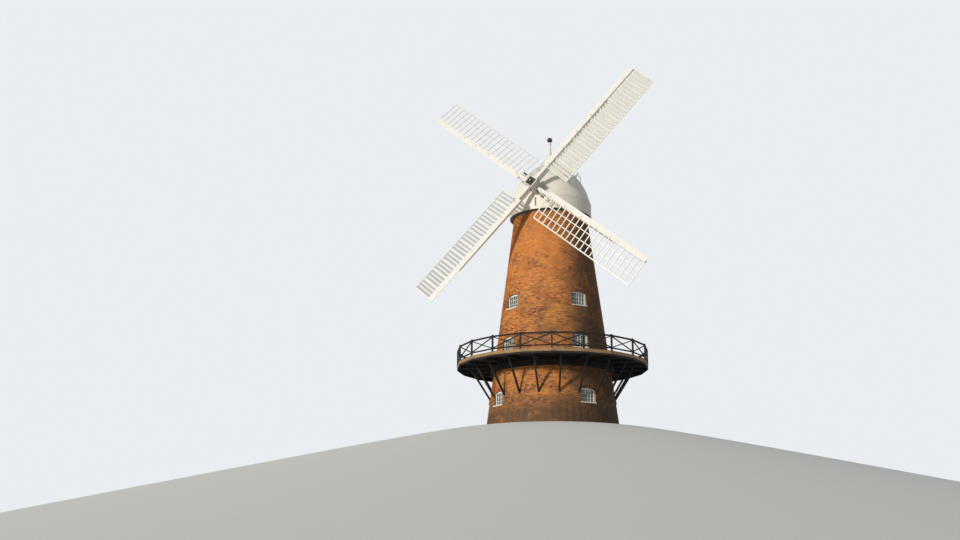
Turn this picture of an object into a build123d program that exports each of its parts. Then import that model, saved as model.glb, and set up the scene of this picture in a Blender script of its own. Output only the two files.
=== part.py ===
"""Brick tower windmill with a timber stage, a boarded cap, four sails and a fantail.

Millimetres, +Z up. The origin is the centre of the tower at ground level. Azimuths are counted
from -Y, the front of the mill, and grow towards +X. Round work is made of narrow flats, as its
bricks and boards are laid, and a radius is measured to the middle of a flat.
"""
from build123d import *
import os
from math import atan2, cos, degrees, radians, sin, tan

# Tower
BASE_RADIUS = 4480.0
TOP_RADIUS = 2575.0
WALL_TOP = 14700.0
BASE_WALL = 650.0
TOP_WALL = 430.0
TOWER_FLATS = 60
WINDOW_PIER_FLATS = 8
WINDOW_AZIMUTH = 33.0
WINDOW_COLUMN_COUNT = 4
STAGE_WINDOW_TURN = 3.0
UPPER_WINDOW_TURN = 6.0
SLAB_DEPTH = 150.0
FLOOR_DEPTH = 150.0
SECOND_FLOOR = 7450.0
UPPER_BAND_FOOT = 10600.0
SEAT_GAP = 0.3
STRING_COURSE_TOP = 2060.0
STRING_COURSE_HEIGHT = 200.0
STRING_COURSE_OUT = 45.0

# Windows and doors
WINDOW_WIDTH = 1150.0
WINDOW_HEIGHT = 980.0
ARCH_RISE = 110.0
ARCH_STEPS = 6
GROUND_SILL_RISE = 1300.0
STAGE_SILL_RISE = 590.0
SECOND_SILL_RISE = 570.0
DOOR_WIDTH = 1100.0
DOOR_HEIGHT = 2050.0
DOOR_LEAF = 50.0
DOOR_LEAF_SETBACK = 15.0
FRAME_SIZE = 70.0
FRAME_DEPTH = 80.0
FRAME_SETBACK = 110.0
GLASS_THICKNESS = 6.0
SILL_DEPTH = 60.0
SILL_OVERHANG = 20.0

# Stage
DECK_TOP = 4500.0
DECK_BOARD = 50.0
STAGE_RADIUS = 6470.0
STAGE_SIDES = 20
POST_OFFSET = 3.0
JOIST_WIDTH = 110.0
JOIST_DEPTH = 200.0
DECK_WALL_GAP = 15.0
DECK_SEAM = 6.0
FASCIA_DEPTH = 300.0
FASCIA_THICKNESS = 60.0
STRUT_SIZE = 110.0
STRUT_HEAD_INSET = 920.0
RAIL_HEIGHT = 1030.0
POST_SIZE = 95.0
POST_ABOVE_RAIL = 30.0
RAIL_DEPTH = 85.0
RAIL_WIDTH = 60.0
LOWER_RAIL_HEIGHT = 160.0
BRACE_SIZE = 58.0

# Curb and cap
CURB_HEIGHT = 200.0
CURB_WIDTH = 430.0
CAP_GAP = 0.5
CAP_RING_HEIGHT = 200.0
CAP_RING_SEAT = 180.0
CAP_AZIMUTH = -20.9
CAP_OVERHANG = 255.0
CAP_BOARD = 50.0
CAP_FLATS = 40
CAP_GORES = 8
GORE_SEAM = 4.0
PETTICOAT_DROP = 20.0
PETTICOAT_HEIGHT = 950.0
EAVES_SETBACK = 30.0
DOME_BULGE_HEIGHT = 1350.0
DOME_BULGE_SHARE = 0.832
DOME_TURN_HEIGHT = 2750.0
DOME_TURN_SHARE = 0.386
DOME_HEIGHT = 3950.0
SWELL_STEPS = 6
NECK_STEPS = 4
POLE_RADIUS = 80.0
POLE_SIDES = 12
POLE_HEIGHT = 1075.0
POLE_FOOT = 350.0
TIP_BOARD = 60.0
BALL_RADIUS = 190.0
BALL_SIDES = 16
BALL_STEPS = 8
BALL_SEAT_SHARE = 0.89
HOOD_WIDTH = 1280.0
HOOD_SPRING_RISE = 620.0
HOOD_BOARD = 40.0
HOOD_STEPS = 8
HOOD_CLEARANCE = 60.0
NECK_CLEARANCE = 60.0

# Cap frame
SHEER_WIDTH = 260.0
SHEER_DEPTH = 300.0
SHEER_SPACING = 1500.0
SHEER_FRONT = 2300.0
NECK_DISTANCE = 2050.0
TAIL_BEARING_DISTANCE = 1750.0
WEATHER_BEAM_WIDTH = 340.0
WEATHER_BEAM_HALF = 950.0
TAIL_BEAM_WIDTH = 260.0
TAIL_BEAM_DEPTH = 220.0

# Windshaft and stocks
SHAFT_RISE = 700.0
SHAFT_TILT = 12.2
SHAFT_RADIUS = 230.0
SHAFT_TAIL = 2100.0
BEARING_GAP = 0.3
STOCK_CLEARANCE = 20.0
STOCK_SIZE = 280.0
STOCK_TIP_SIZE = 170.0
STOCK_SPACING = 300.0
STOCK_LENGTH = 7740.0
CANISTER_SIZE = 720.0
CANISTER_WALL = 90.0
CANISTER_NOSE = 280.0
CANISTER_RIM = 80.0
CANISTER_RECESS = 60.0
ROD_RADIUS = 45.0
ROD_OUT = 110.0

# Sails
SAIL_COUNT = 4
SAIL_TURN = 40.2
SAIL_RADIUS = 10600.0
SAIL_HEEL = 1450.0
SAIL_WIDTH = 1850.0
HEEL_WEATHER = 14.0
TIP_WEATHER = 10.5
WHIP_WIDTH = 190.0
WHIP_DEPTH = 140.0
WHIP_START = 420.0
BAR_WIDTH = 70.0
BAR_DEPTH = 36.0
HEMLATH_WIDTH = 80.0
HEMLATH_DEPTH = 50.0
UPLONG_WIDTH = 60.0
UPLONG_DEPTH = 24.0
UPLONG_GAP = 1.4
LEADING_BOARD_WIDTH = 210.0
LEADING_BOARD_DEPTH = 25.0
COMMON_BAYS = 20
UPLONG_COUNT = 2
PATENT_BAYS = 10
SHUTTERS_PER_BAY = 3
SHUTTER_DEPTH = 270.0
SHUTTER_THICKNESS = 16.0
SHUTTER_CLEARANCE = 12.0
SHUTTER_END_GAP = 0.9
SHUTTER_TURN = 38.0

# Fantail
FAN_DISTANCE = 4300.0
FAN_RISE = 4100.0
FAN_RADIUS = 1550.0
FAN_BLADES = 6
FAN_PITCH = 40.0
FAN_BLADE_ROOT = 430.0
FAN_BLADE_ROOT_WIDTH = 330.0
FAN_BLADE_TIP_WIDTH = 680.0
FAN_BLADE_THICKNESS = 30.0
FAN_SPOKE_SIZE = 50.0
FAN_HUB_RADIUS = 110.0
FAN_HUB_LENGTH = 420.0
FAN_AXLE_RADIUS = 50.0
FAN_AXLE_OUT = 40.0
FAN_POST_SIZE = 140.0
FAN_POST_ABOVE = 300.0
FAN_RAIL_DROP = 1900.0
FAN_STAY_DROP = 1600.0
FAN_STAY_SIZE = 110.0
FAN_STAY_FOOT_GAP = 150.0

FULL_TURN = 360.0
PARTS_FOLDER = "parts"

# Levels of the cap, from the wall up
CURB_TOP = WALL_TOP + CURB_HEIGHT
CAP_BASE = CURB_TOP + CAP_GAP
CAP_RING_TOP = CAP_BASE + CAP_RING_HEIGHT
SHEER_TOP = CAP_RING_TOP + SHEER_DEPTH
PETTICOAT_BOTTOM = CURB_TOP - PETTICOAT_DROP
EAVES = PETTICOAT_BOTTOM + PETTICOAT_HEIGHT
DOME_TOP = EAVES + DOME_HEIGHT
BALL_CENTRE = DOME_TOP + POLE_HEIGHT
SHAFT_Z = CAP_RING_TOP + SHAFT_RISE
FAN_Z = CAP_RING_TOP + FAN_RISE
HOOD_SPRING = SHAFT_Z + HOOD_SPRING_RISE
HOOD_TOP = HOOD_SPRING + HOOD_WIDTH / 2

# Distances from the mill's axis
CAP_RADIUS = TOP_RADIUS + CAP_OVERHANG
EAVES_RADIUS = CAP_RADIUS - EAVES_SETBACK
DOME_BULGE_RADIUS = EAVES_RADIUS * DOME_BULGE_SHARE
DOME_TURN_RADIUS = EAVES_RADIUS * DOME_TURN_SHARE
INNER_STOCK_BACK = CAP_RADIUS + STOCK_CLEARANCE
INNER_STOCK_Y = INNER_STOCK_BACK + STOCK_SIZE / 2
OUTER_STOCK_Y = INNER_STOCK_Y + STOCK_SPACING
OUTER_WHIP_Y = OUTER_STOCK_Y + STOCK_SIZE / 2 + WHIP_DEPTH / 2
CANISTER_BACK = INNER_STOCK_BACK - CANISTER_WALL
CANISTER_FRONT = OUTER_STOCK_Y + STOCK_SIZE / 2 + CANISTER_WALL + CANISTER_NOSE
HOOD_LEAN = (HOOD_TOP - SHAFT_Z) * sin(radians(SHAFT_TILT))
HOOD_FRONT = (INNER_STOCK_BACK - HOOD_CLEARANCE - HOOD_LEAN) / cos(radians(SHAFT_TILT))
POLE_CORNER = POLE_RADIUS / cos(radians(FULL_TURN / POLE_SIDES / 2))
CAP = Rot(0, 0, CAP_AZIMUTH)
MILL = Pos(0, 0, SHAFT_Z) * CAP * Rot(-SHAFT_TILT, 0, 0)

# Directions round the tower and the stage
SIDE_ANGLE = FULL_TURN / STAGE_SIDES
FLAT_ANGLE = FULL_TURN / TOWER_FLATS
COLUMN_ANGLE = FULL_TURN / WINDOW_COLUMN_COUNT
WINDOW_COLUMNS = [WINDOW_AZIMUTH + COLUMN_ANGLE * index for index in range(WINDOW_COLUMN_COUNT)]
DOOR_COLUMNS = {"ground": WINDOW_COLUMNS[1], "stage": WINDOW_COLUMNS[2]}
DOOR_SILLS = {"ground": SLAB_DEPTH, "stage": DECK_TOP}
WINDOW_TURNS = {
    ("stage", WINDOW_COLUMNS[0]): -STAGE_WINDOW_TURN,
    ("stage", WINDOW_COLUMNS[3]): UPPER_WINDOW_TURN,
    ("second", WINDOW_COLUMNS[3]): UPPER_WINDOW_TURN,
}
POST_AZIMUTHS = [WINDOW_AZIMUTH + POST_OFFSET + SIDE_ANGLE * index for index in range(STAGE_SIDES)]
JOIST_AZIMUTHS = [WINDOW_AZIMUTH + SIDE_ANGLE * (index + 0.5) for index in range(STAGE_SIDES)]

# Each storey's foot, head and sill
STOREYS = {
    "ground": (0.0, DECK_TOP - FLOOR_DEPTH, SLAB_DEPTH + GROUND_SILL_RISE),
    "stage": (DECK_TOP - FLOOR_DEPTH, SECOND_FLOOR - FLOOR_DEPTH, DECK_TOP + STAGE_SILL_RISE),
    "second": (SECOND_FLOOR - FLOOR_DEPTH, UPPER_BAND_FOOT, SECOND_FLOOR + SECOND_SILL_RISE),
    "top": (UPPER_BAND_FOOT, WALL_TOP, None),
}

# Rim of the stage
JOIST_TOP = DECK_TOP - DECK_BOARD
JOIST_BOTTOM = JOIST_TOP - JOIST_DEPTH
RIM_OUTSIDE = STAGE_RADIUS * cos(radians(SIDE_ANGLE / 2))
RIM_INSIDE = RIM_OUTSIDE - FASCIA_THICKNESS
RIM_MIDDLE = RIM_OUTSIDE - FASCIA_THICKNESS / 2


def wall_radius(height):
    """Outer radius of the tower at a height."""
    return BASE_RADIUS + (TOP_RADIUS - BASE_RADIUS) * height / WALL_TOP


def room_radius(height):
    """Inner radius of the tower at a height."""
    base = BASE_RADIUS - BASE_WALL
    top = TOP_RADIUS - TOP_WALL
    return base + (top - base) * height / WALL_TOP


def turned(azimuth):
    """Location that carries a piece from the front, -Y, round to an azimuth."""
    return Rot(0, 0, azimuth)


def plain_box(x0, x1, y0, y1, z0, z1):
    """Box between two corners."""
    return Pos((x0 + x1) / 2, (y0 + y1) / 2, (z0 + z1) / 2) * Box(x1 - x0, y1 - y0, z1 - z0)


def prism(plane, points, amount):
    """Outline of straight sides on a plane, extruded."""
    return extrude(plane * make_face(Polyline(*points, close=True)), amount=amount)


def beam(start, end, width, depth, up=Vector(0, 0, 1)):
    """Straight square-ended timber between two points, with its depth along up."""
    a, b = Vector(*start), Vector(*end)
    along = (b - a).normalized()
    side = along.cross(up).normalized()
    plane = Plane(origin=(a + b) * 0.5, x_dir=side, z_dir=along)
    return plane.location * Box(width, depth, (b - a).length)


def along_y(radius, near, far):
    """Cylinder along -Y between two distances in front of the origin."""
    return Pos(0, -(near + far) / 2, 0) * Rot(90, 0, 0) * Cylinder(radius, far - near)


def flat_sided(foot, head, low, high, flats=TOWER_FLATS, middle=JOIST_AZIMUTHS[0]):
    """Solid of equal flats, foot from the axis below and head above, one flat facing middle."""
    first_corner = middle - FULL_TURN / 4 - FULL_TURN / flats / 2
    outline = Pos(0, 0, low) * Rot(0, 0, first_corner) * RegularPolygon(foot, flats, major_radius=False)
    return extrude(outline, amount=high - low, taper=degrees(atan2(foot - head, high - low)))


def cap_ring_of(outer, inner, low, high):
    """Upright ring in the cap's own frame, with a board's flat each."""
    board = FULL_TURN / CAP_FLATS
    whole = flat_sided(outer, outer, low, high, CAP_FLATS, board / 2)
    return whole - flat_sided(inner, inner, low, high, CAP_FLATS, board / 2)


def wedge(start, end, reach, low, high):
    """Solid sector between two azimuths, used to cut rings into segments."""
    far = reach / cos(radians((end - start) / 2))
    corners = [(far * sin(radians(azimuth)), -far * cos(radians(azimuth))) for azimuth in (start, end)]
    return prism(Plane.XY.offset(low), [(0, 0), *corners], high - low)


def cut_to_segments(ring, low, high):
    """Ring of the cap cut into equal segments with an open joint between neighbours."""
    span = FULL_TURN / CAP_GORES
    joint = degrees(GORE_SEAM / 2 / CAP_RADIUS)
    reach = CAP_RADIUS + CAP_OVERHANG
    return [ring & wedge(span * index + joint, span * (index + 1) - joint, reach, low, high)
            for index in range(CAP_GORES)]


def arch_line(half_width, spring, rise, steps):
    """Points over an arch, from its right springing to its left one."""
    arch = ThreePointArc((half_width, spring), (0, spring + rise), (-half_width, spring))
    points = [arch @ (index / steps) for index in range(steps + 1)]
    return [(point.X, point.Y) for point in points]


def arched_block(half_width, floor, spring, rise, near, far, steps=ARCH_STEPS):
    """Block with an arched head, between two distances in front of the axis."""
    outline = [(-half_width, floor), (half_width, floor), *arch_line(half_width, spring, rise, steps)]
    return prism(Plane.XZ.offset(near), outline, far - near)


def save(name, solids):
    """Write one node."""
    parts = solids if isinstance(solids, list) else [solids]
    flat = [solid for part in parts for solid in part.solids()]
    shape = Compound(children=flat) if len(flat) > 1 else flat[0]
    export_step(shape, f"{PARTS_FOLDER}/{name}.step")


# Tower


def opening_in(storey, azimuth):
    """Width, height and sill of the opening at an azimuth of a storey."""
    if azimuth == DOOR_COLUMNS.get(storey):
        return DOOR_WIDTH, DOOR_HEIGHT, DOOR_SILLS[storey]
    return WINDOW_WIDTH, WINDOW_HEIGHT, STOREYS[storey][2]


def opening_azimuth(storey, column):
    """Azimuth of the opening in a column, which some storeys set a little to one side."""
    return column + WINDOW_TURNS.get((storey, column), 0)


def opening_block(width, height, sill, near, far):
    """Space of an opening, from its sill to its arched head."""
    return arched_block(width / 2, sill, sill + height - ARCH_RISE, ARCH_RISE, near, far)


def wall_band(storey):
    """Window piers and plain piers of one storey."""
    low, high, sill = STOREYS[storey]
    ring = flat_sided(wall_radius(low), wall_radius(high), low, high)
    ring -= flat_sided(room_radius(low), room_radius(high), low, high)
    window_half = FLAT_ANGLE * WINDOW_PIER_FLATS / 2
    plain_half = COLUMN_ANGLE / 2 - window_half
    windowed, plain = [], []
    for azimuth in WINDOW_COLUMNS:
        pier = ring & wedge(azimuth - window_half, azimuth + window_half, STAGE_RADIUS, low, high)
        if sill is not None:
            opening = opening_block(*opening_in(storey, azimuth), 0, BASE_RADIUS)
            pier -= turned(opening_azimuth(storey, azimuth)) * opening
        windowed.append(pier)
        middle = azimuth + COLUMN_ANGLE / 2
        plain.append(ring & wedge(middle - plain_half, middle + plain_half, STAGE_RADIUS, low, high))
    return windowed, plain


def frame_face(height, sill):
    """Distance from the axis to the outer face of a frame."""
    return wall_radius(sill + height) - FRAME_SETBACK


def frame_light(width, height, sill, near, far):
    """Square-headed space inside a frame."""
    half = width / 2 - FRAME_SIZE
    return plain_box(-half, half, -far, -near, sill + FRAME_SIZE, sill + height - ARCH_RISE)


def window_frame(width, height, sill):
    """Casement frame whose head fills the arch, with a sill board out to the wall's face."""
    face = frame_face(height, sill)
    half, edge = width / 2, wall_radius(sill) + SILL_OVERHANG
    frame = opening_block(width, height, sill, face - FRAME_DEPTH, face)
    frame += plain_box(-half, half, -edge, -face, sill, sill + SILL_DEPTH)
    return frame - frame_light(width, height, sill, face - FRAME_DEPTH, face)


def window_glass(width, height, sill):
    """Pane that fills the casement frame."""
    middle = frame_face(height, sill) - FRAME_DEPTH / 2
    half = GLASS_THICKNESS / 2
    return frame_light(width, height, sill, middle - half, middle + half)


def door(width, height, sill):
    """Closed door in its frame, the leaf set back from the frame's face."""
    face = frame_face(height, sill)
    frame = opening_block(width, height, sill, face - FRAME_DEPTH, face)
    leaf_face = face - DOOR_LEAF_SETBACK
    light = frame_light(width, height, sill - FRAME_SIZE, face - FRAME_DEPTH, face)
    leaf = frame_light(width, height, sill - FRAME_SIZE, leaf_face - DOOR_LEAF, leaf_face)
    return frame - light + leaf


def floor_disc(top, depth):
    """Floor that fits inside the tower wall."""
    radius = room_radius(top) - SEAT_GAP
    return flat_sided(radius, radius, top - depth, top)


def string_course():
    """Projecting band of brick that the struts stand on, stopped at the ground openings."""
    low, high = STRING_COURSE_TOP - STRING_COURSE_HEIGHT, STRING_COURSE_TOP
    foot, head = wall_radius(low), wall_radius(high)
    band = flat_sided(foot + STRING_COURSE_OUT, head + STRING_COURSE_OUT, low, high)
    band -= flat_sided(foot, head, low, high)
    joint = degrees(DECK_SEAM / 2 / BASE_RADIUS)
    stop = degrees(WINDOW_WIDTH / 2 / foot) + joint
    pieces = []
    for column in WINDOW_COLUMNS:
        middle = column + COLUMN_ANGLE / 2
        pieces.append(band & wedge(column + stop, middle - joint, STAGE_RADIUS, low, high))
        pieces.append(band & wedge(middle + joint, middle * 2 - column - stop, STAGE_RADIUS, low, high))
    return pieces


# Stage


def rim_outline(inside, outside):
    """Outline of one side of the stage between two distances from the axis."""
    half = tan(radians(SIDE_ANGLE / 2))
    left = [(-inside * half + DECK_SEAM / 2, -inside), (-outside * half + DECK_SEAM / 2, -outside)]
    return [*left, (-left[1][0], left[1][1]), (-left[0][0], left[0][1])]


def side_turn(azimuth):
    """Location of the side that starts at a post's azimuth."""
    return turned(azimuth + SIDE_ANGLE / 2)


def deck_panel(azimuth):
    """Boarded deck between two posts."""
    inside = wall_radius(JOIST_TOP) + DECK_WALL_GAP
    outline = rim_outline(inside, RIM_INSIDE)
    return side_turn(azimuth) * prism(Plane.XY.offset(JOIST_TOP), outline, DECK_BOARD)


def fascia_board(azimuth):
    """Board on edge round the rim of the deck."""
    low = Plane.XY.offset(DECK_TOP - FASCIA_DEPTH)
    return side_turn(azimuth) * prism(low, rim_outline(RIM_INSIDE, RIM_OUTSIDE), FASCIA_DEPTH)


def joist(azimuth):
    """Radial beam under the deck, from the wall to the fascia."""
    offset = (azimuth - POST_AZIMUTHS[0]) % SIDE_ANGLE - SIDE_ANGLE / 2
    outer = RIM_INSIDE / cos(radians(offset)) - JOIST_WIDTH * sin(radians(SIDE_ANGLE / 2))
    inner = wall_radius(JOIST_BOTTOM) + SEAT_GAP
    half = JOIST_WIDTH / 2
    return turned(azimuth) * plain_box(-half, half, -outer, -inner, JOIST_BOTTOM, JOIST_TOP)


def strut(azimuth):
    """Raking strut from the string course up to the joist, its foot cut to the wall."""
    foot_z = STRING_COURSE_TOP + STRUT_SIZE / 2
    foot = Vector(0, -wall_radius(foot_z), foot_z)
    head = Vector(0, STRUT_HEAD_INSET - STAGE_RADIUS, JOIST_BOTTOM)
    spare = (head - foot).normalized() * STRUT_SIZE * 2
    timber = beam(foot - spare, head + spare, STRUT_SIZE, STRUT_SIZE)
    low = STRING_COURSE_TOP + SEAT_GAP
    profile = [
        (-wall_radius(low) - SEAT_GAP, low),
        (-wall_radius(JOIST_BOTTOM) - SEAT_GAP, JOIST_BOTTOM),
        (-STAGE_RADIUS, JOIST_BOTTOM),
        (-STAGE_RADIUS, low),
    ]
    return turned(azimuth) * (timber & prism(Plane.YZ.offset(-STRUT_SIZE), profile, 2 * STRUT_SIZE))


def rail_bay(azimuth):
    """Handrail, lower rail and crossed braces between two posts."""
    turn = radians(SIDE_ANGLE / 2)
    post_clear = (POST_SIZE / 2 + SEAT_GAP + RAIL_WIDTH / 2 * sin(turn)) / cos(turn)
    reach = RIM_MIDDLE * tan(turn) - post_clear
    top = DECK_TOP + RAIL_HEIGHT
    low = DECK_TOP + LOWER_RAIL_HEIGHT
    back, front = -RIM_MIDDLE - RAIL_WIDTH / 2, -RIM_MIDDLE + RAIL_WIDTH / 2
    bay = plain_box(-reach, reach, back, front, top - RAIL_DEPTH, top)
    bay += plain_box(-reach, reach, back, front, low, low + RAIL_DEPTH)
    between = plain_box(-reach, reach, back, front, low + RAIL_DEPTH / 2, top - RAIL_DEPTH / 2)
    for side in (-reach, reach):
        start = Vector(-side, -RIM_MIDDLE, low + RAIL_DEPTH)
        end = Vector(side, -RIM_MIDDLE, top - RAIL_DEPTH)
        spare = (end - start).normalized() * RAIL_DEPTH
        bay += beam(start - spare, end + spare, BRACE_SIZE, BRACE_SIZE) & between
    return side_turn(azimuth) * bay


def rail_post(azimuth):
    """Post at a corner of the deck, standing on the rim."""
    middle = RIM_MIDDLE / cos(radians(SIDE_ANGLE / 2))
    half = POST_SIZE / 2
    top = DECK_TOP + RAIL_HEIGHT + POST_ABOVE_RAIL
    return turned(azimuth) * plain_box(-half, half, -middle - half, -middle + half, DECK_TOP, top)


# Cap


def dome_outline(inset):
    """Points up the ogee of the dome, from the eaves to the tip, set in by an inset."""
    turn = (DOME_TURN_RADIUS, EAVES + DOME_TURN_HEIGHT)
    bulge = (DOME_BULGE_RADIUS, EAVES + DOME_BULGE_HEIGHT)
    swell = ThreePointArc((EAVES_RADIUS, EAVES), bulge, turn)
    neck = TangentArc(turn, (POLE_RADIUS + TIP_BOARD, DOME_TOP), tangent=swell % 1)
    places = [(swell, index / SWELL_STEPS) for index in range(SWELL_STEPS)]
    places += [(neck, index / NECK_STEPS) for index in range(NECK_STEPS + 1)]
    points = []
    for curve, share in places:
        point, along = curve @ share, curve % share
        radius = max(point.X - along.Y * inset, POLE_CORNER + SEAT_GAP)
        points.append((radius, max(point.Y + along.X * inset, EAVES)))
    tip = POLE_CORNER + SEAT_GAP if inset else POLE_RADIUS + TIP_BOARD
    points[-1] = (tip, DOME_TOP)
    return points


def dome_board(inner):
    """One flat of the dome between its outline and a list of inner points, at the front."""
    half_angle = FULL_TURN / CAP_FLATS / 2
    section = [(-radius, height) for radius, height in dome_outline(0)]
    section += [(-radius, height) for radius, height in reversed(inner)]
    half = CAP_RADIUS * tan(radians(half_angle))
    sheet = prism(Plane.YZ.offset(-half), section, 2 * half)
    return sheet & wedge(-half_angle, half_angle, CAP_RADIUS, EAVES, DOME_TOP)


def boards_between(board, first, count):
    """Copies of a board fused side by side, starting at a flat counted from the front."""
    angle = FULL_TURN / CAP_FLATS
    copies = [turned(angle * (first + index + 0.5)) * board for index in range(count)]
    return copies[0].fuse(*copies[1:])


def shaft_height(distance):
    """Height of the windshaft's centre line at a distance in front of the mill's axis."""
    return SHAFT_Z + distance * tan(radians(SHAFT_TILT))


def shaft_space(clearance):
    """Space of the turning windshaft and a clearance round it, in the cap's own frame."""
    bore = along_y(SHAFT_RADIUS + clearance, -SHAFT_TAIL * 2, INNER_STOCK_BACK)
    return Pos(0, 0, SHAFT_Z) * Rot(-SHAFT_TILT, 0, 0) * bore


def hood_block(inset, near, far):
    """Round-headed block over the neck of the windshaft, set in by an inset."""
    half = HOOD_WIDTH / 2 - inset
    return arched_block(half, shaft_height(HOOD_FRONT), HOOD_SPRING, half, near, far, HOOD_STEPS)


def cap_dome():
    """Gores of the ogee dome, cut open under the hood and round the windshaft."""
    board = dome_board(dome_outline(CAP_BOARD))
    gore = boards_between(board, 0, CAP_FLATS // CAP_GORES)
    span = FULL_TURN / CAP_GORES
    joint = degrees(GORE_SEAM / 2 / CAP_RADIUS)
    gore &= wedge(joint, span - joint, CAP_RADIUS, EAVES, DOME_TOP)
    hole = hood_block(HOOD_BOARD, 0, HOOD_FRONT - HOOD_BOARD) + shaft_space(NECK_CLEARANCE)
    return [turned(span * index) * gore - hole for index in range(CAP_GORES)]


def cap_hood():
    """Boarded hood with a closed front, fitted to the outside of the dome."""
    shell = hood_block(0, DOME_TURN_RADIUS, HOOD_FRONT)
    shell -= hood_block(HOOD_BOARD, DOME_TURN_RADIUS, HOOD_FRONT - HOOD_BOARD)
    core = dome_board([(0, EAVES), (0, DOME_TOP)])
    sides = CAP_FLATS // CAP_GORES
    return shell - boards_between(core, -sides, 2 * sides) - shaft_space(NECK_CLEARANCE)


def petticoat():
    """Upright boards round the foot of the cap, notched for the sheers."""
    skirt = cap_ring_of(CAP_RADIUS, CAP_RADIUS - CAP_BOARD, PETTICOAT_BOTTOM, EAVES)
    half = SHEER_WIDTH / 2 + SEAT_GAP
    low, high = CAP_RING_TOP - SEAT_GAP, SHEER_TOP + SEAT_GAP
    for x in (-SHEER_SPACING / 2, SHEER_SPACING / 2):
        skirt -= plain_box(x - half, x + half, 0, FAN_DISTANCE, low, high)
    return cut_to_segments(skirt, PETTICOAT_BOTTOM, EAVES)


def cap_ring():
    """Timber ring that turns on the curb."""
    outer, inner = CAP_RADIUS - CAP_BOARD - SEAT_GAP, TOP_RADIUS - CAP_RING_SEAT
    ring = cap_ring_of(outer, inner, CAP_BASE, CAP_RING_TOP)
    return cut_to_segments(ring, CAP_BASE, CAP_RING_TOP)


def curb():
    """Timber ring on the head of the wall."""
    outer, inner = TOP_RADIUS, TOP_RADIUS - CURB_WIDTH
    ring = flat_sided(outer, outer, WALL_TOP, CURB_TOP) - flat_sided(inner, inner, WALL_TOP, CURB_TOP)
    return cut_to_segments(ring, WALL_TOP, CURB_TOP)


def sheers():
    """Two long beams on the cap ring that run out behind to carry the fantail."""
    half = SHEER_WIDTH / 2
    tail = FAN_DISTANCE + TAIL_BEAM_WIDTH / 2
    return [plain_box(x - half, x + half, -SHEER_FRONT, tail, CAP_RING_TOP, SHEER_TOP)
            for x in (-SHEER_SPACING / 2, SHEER_SPACING / 2)]


def weather_beam():
    """Heavy beam on the sheers that carries the neck of the windshaft."""
    half, side = WEATHER_BEAM_WIDTH / 2, WEATHER_BEAM_HALF
    back, front = -NECK_DISTANCE - half, -NECK_DISTANCE + half
    timber = plain_box(-side, side, back, front, SHEER_TOP, shaft_height(NECK_DISTANCE))
    return timber - shaft_space(BEARING_GAP)


def tail_bearing():
    """Cross beam between the sheers that carries the tail of the windshaft."""
    half = WEATHER_BEAM_WIDTH / 2
    side = SHEER_SPACING / 2 - SHEER_WIDTH / 2
    near, far = TAIL_BEARING_DISTANCE - half, TAIL_BEARING_DISTANCE + half
    timber = plain_box(-side, side, near, far, CAP_RING_TOP, shaft_height(-TAIL_BEARING_DISTANCE))
    return timber - shaft_space(BEARING_GAP)


def finial_pole():
    """Pole that stands through the tip of the dome."""
    foot = DOME_TOP - POLE_FOOT
    top = BALL_CENTRE - BALL_RADIUS * BALL_SEAT_SHARE
    return flat_sided(POLE_RADIUS, POLE_RADIUS, foot, top, POLE_SIDES)


def finial_ball():
    """Ball of narrow gores, cut flat where it sits on the pole."""
    half = radians(FULL_TURN / BALL_SIDES / 2)
    turns = [radians(FULL_TURN / 2 * index / BALL_STEPS) for index in range(BALL_STEPS + 1)]
    outline = [(BALL_RADIUS * sin(angle), BALL_RADIUS * cos(angle)) for angle in turns]
    width = BALL_RADIUS * tan(half)
    sheet = prism(Plane.YZ.offset(-width), [(-x, z) for x, z in outline], 2 * width)
    gore = sheet & wedge(-degrees(half), degrees(half), BALL_RADIUS, -BALL_RADIUS, BALL_RADIUS)
    gores = [turned(FULL_TURN / BALL_SIDES * index) * gore for index in range(BALL_SIDES)]
    ball = gores[0].fuse(*gores[1:])
    seat = BALL_RADIUS * BALL_SEAT_SHARE
    spare = plain_box(-BALL_RADIUS, BALL_RADIUS, -BALL_RADIUS, BALL_RADIUS, -2 * BALL_RADIUS, -seat)
    return Pos(0, 0, BALL_CENTRE) * (ball - spare)


# Windshaft and stocks


def windshaft():
    """Iron windshaft, its canister bored for the two stocks, and the rod of the shutters."""
    half, bore = CANISTER_SIZE / 2, STOCK_SIZE / 2
    canister = plain_box(-half, half, -CANISTER_FRONT, -CANISTER_BACK, -half, half)
    for distance, across, up in ((OUTER_STOCK_Y, bore, half), (INNER_STOCK_Y, half, bore)):
        canister -= plain_box(-across, across, -distance - bore, -distance + bore, -up, up)
    rim = half - CANISTER_RIM
    canister -= plain_box(-rim, rim, -CANISTER_FRONT, -CANISTER_FRONT + CANISTER_RECESS, -rim, rim)
    rod = along_y(ROD_RADIUS, CANISTER_FRONT - CANISTER_RECESS, CANISTER_FRONT + ROD_OUT)
    return Rot(0, SAIL_TURN, 0) * canister + along_y(SHAFT_RADIUS, -SHAFT_TAIL, CANISTER_BACK) + rod


def stock(distance, turn):
    """Square stock through the canister, tapered towards both ends."""
    half, tip = STOCK_SIZE / 2, STOCK_TIP_SIZE / 2
    right = [(tip, -STOCK_LENGTH), (half, -SAIL_HEEL), (half, SAIL_HEEL), (tip, STOCK_LENGTH)]
    outline = [*right, *[(-x, z) for x, z in reversed(right)]]
    return Rot(0, turn, 0) * prism(Plane.XZ.offset(distance - half), outline, STOCK_SIZE)


# Sails, each with its whip along +Z and its lattice towards +X


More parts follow.
